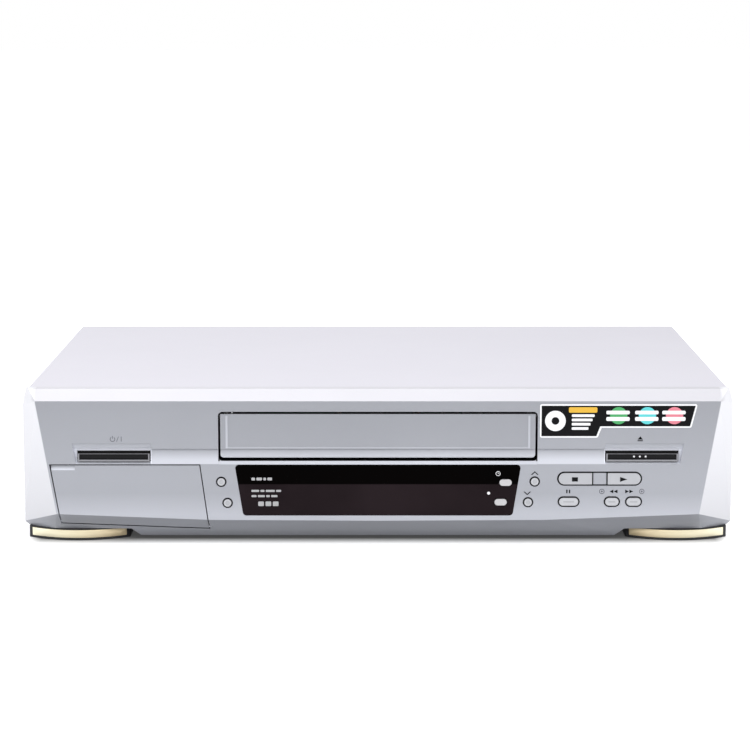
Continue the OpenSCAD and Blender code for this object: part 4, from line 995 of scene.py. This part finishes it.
# ------------------------------------------------------------------ floor and light
FLOOR_LIFT = 0.36
FLOOR_HALF_M = 14.0
FLOOR_WHITE = 0.925
# How dark the painted shadow under the recorder is
FLOOR_SHADOW = 0.15


def seen_rays(nodes, links):
    """1 for the rays that the camera sees directly, in a mirror or through glass."""
    path = nodes.new("ShaderNodeLightPath")
    total = path.outputs["Is Camera Ray"]
    for name in ("Is Glossy Ray", "Is Transmission Ray"):
        node = nodes.new("ShaderNodeMath")
        node.operation = "MAXIMUM"
        links.new(total, node.inputs[0])
        links.new(path.outputs[name], node.inputs[1])
        total = node.outputs["Value"]
    return total


def floor():
    """White floor that keeps the recorder's shadow, with a painted shadow under and just before it.
    """
    mesh = bpy.data.meshes.new("floor")
    half = FLOOR_HALF_M
    mesh.from_pydata([(-half, -half, 0), (half, -half, 0), (half, half, 0), (-half, half, 0)], [],
                     [(0, 1, 2, 3)])
    obj = bpy.data.objects.new("floor", mesh)
    bpy.context.scene.collection.objects.link(obj)
    graph = Graph("floor_white")
    # Painted shadow: under the recorder and just before it the floor is painted dim
    close = graph.both(graph.fade(graph.side, 213, 204), graph.fade(graph.y, depth(-7), depth(11)),
                       graph.fade(graph.y, depth(296), depth(280)))
    painted_shadow = graph.step(close, 0.0, 1.0, 1.0, FLOOR_SHADOW)
    white = graph.clouded((FLOOR_WHITE, FLOOR_WHITE, FLOOR_WHITE), 0.005)
    graph.links.new(graph.scaled(white, painted_shadow), graph.shader.inputs["Base Color"])
    graph.shader.inputs["Roughness"].default_value = 0.9
    graph.shader.inputs["Specular IOR Level"].default_value = 0.1
    # The camera sees the floor a little brighter, so that it fades to white at any distance
    lift = graph.nodes.new("ShaderNodeEmission")
    lift.inputs["Color"].default_value = (FLOOR_LIFT, FLOOR_LIFT, FLOOR_LIFT, 1.0)
    seen = seen_rays(graph.nodes, graph.links)
    graph.links.new(graph.both(seen, painted_shadow), lift.inputs["Strength"])
    total = graph.nodes.new("ShaderNodeAddShader")
    graph.links.new(graph.shader.outputs["BSDF"], total.inputs[0])
    graph.links.new(lift.outputs["Emission"], total.inputs[1])
    graph.links.new(total.outputs["Shader"], graph.nodes["Material Output"].inputs["Surface"])
    mesh.materials.append(graph.mat)


def area_light(name, place, target, size, watts):
    """Rectangular lamp, in metres, turned to a point."""
    data = bpy.data.lights.new(name, "AREA")
    data.shape = "RECTANGLE"
    data.size, data.size_y = size
    data.energy = watts
    obj = bpy.data.objects.new(name, data)
    obj.location = place
    obj.rotation_euler = (Vector(target) - Vector(place)).to_track_quat("-Z", "Y").to_euler()
    bpy.context.scene.collection.objects.link(obj)


def world():
    """Even light from all sides, plain white to the rays of seen_rays."""
    scene_world = bpy.data.worlds.new("world")
    scene_world.use_nodes = True
    nodes = scene_world.node_tree.nodes
    links = scene_world.node_tree.links
    light = nodes["Background"]
    light.inputs["Color"].default_value = (0.97, 0.98, 1.0, 1.0)
    light.inputs["Strength"].default_value = 0.72
    seen = nodes.new("ShaderNodeBackground")
    seen.inputs["Color"].default_value = (1.0, 1.0, 1.0, 1.0)
    seen.inputs["Strength"].default_value = 1.0
    mix = nodes.new("ShaderNodeMixShader")
    links.new(seen_rays(nodes, links), mix.inputs["Fac"])
    links.new(light.outputs["Background"], mix.inputs[1])
    links.new(seen.outputs["Background"], mix.inputs[2])
    links.new(mix.outputs["Shader"], nodes["World Output"].inputs["Surface"])
    bpy.context.scene.world = scene_world


floor()
world()
# Lamps: place, the point they face, size and watts
area_light("top_softbox", (0.0, 0.15, 1.6), (0, 0, 0.05), (1.6, 1.2), 13)
area_light("front_softbox", (0.1, -1.7, 1.0), (0, -0.1, 0.05), (1.5, 0.8), 9)
area_light("left_softbox", (-1.5, -0.6, 0.6), (0, -0.1, 0.05), (0.8, 0.8), 4)
area_light("right_softbox", (1.5, -0.6, 0.6), (0, -0.1, 0.05), (0.8, 0.8), 4)

bpy.context.scene.view_settings.view_transform = "Standard"
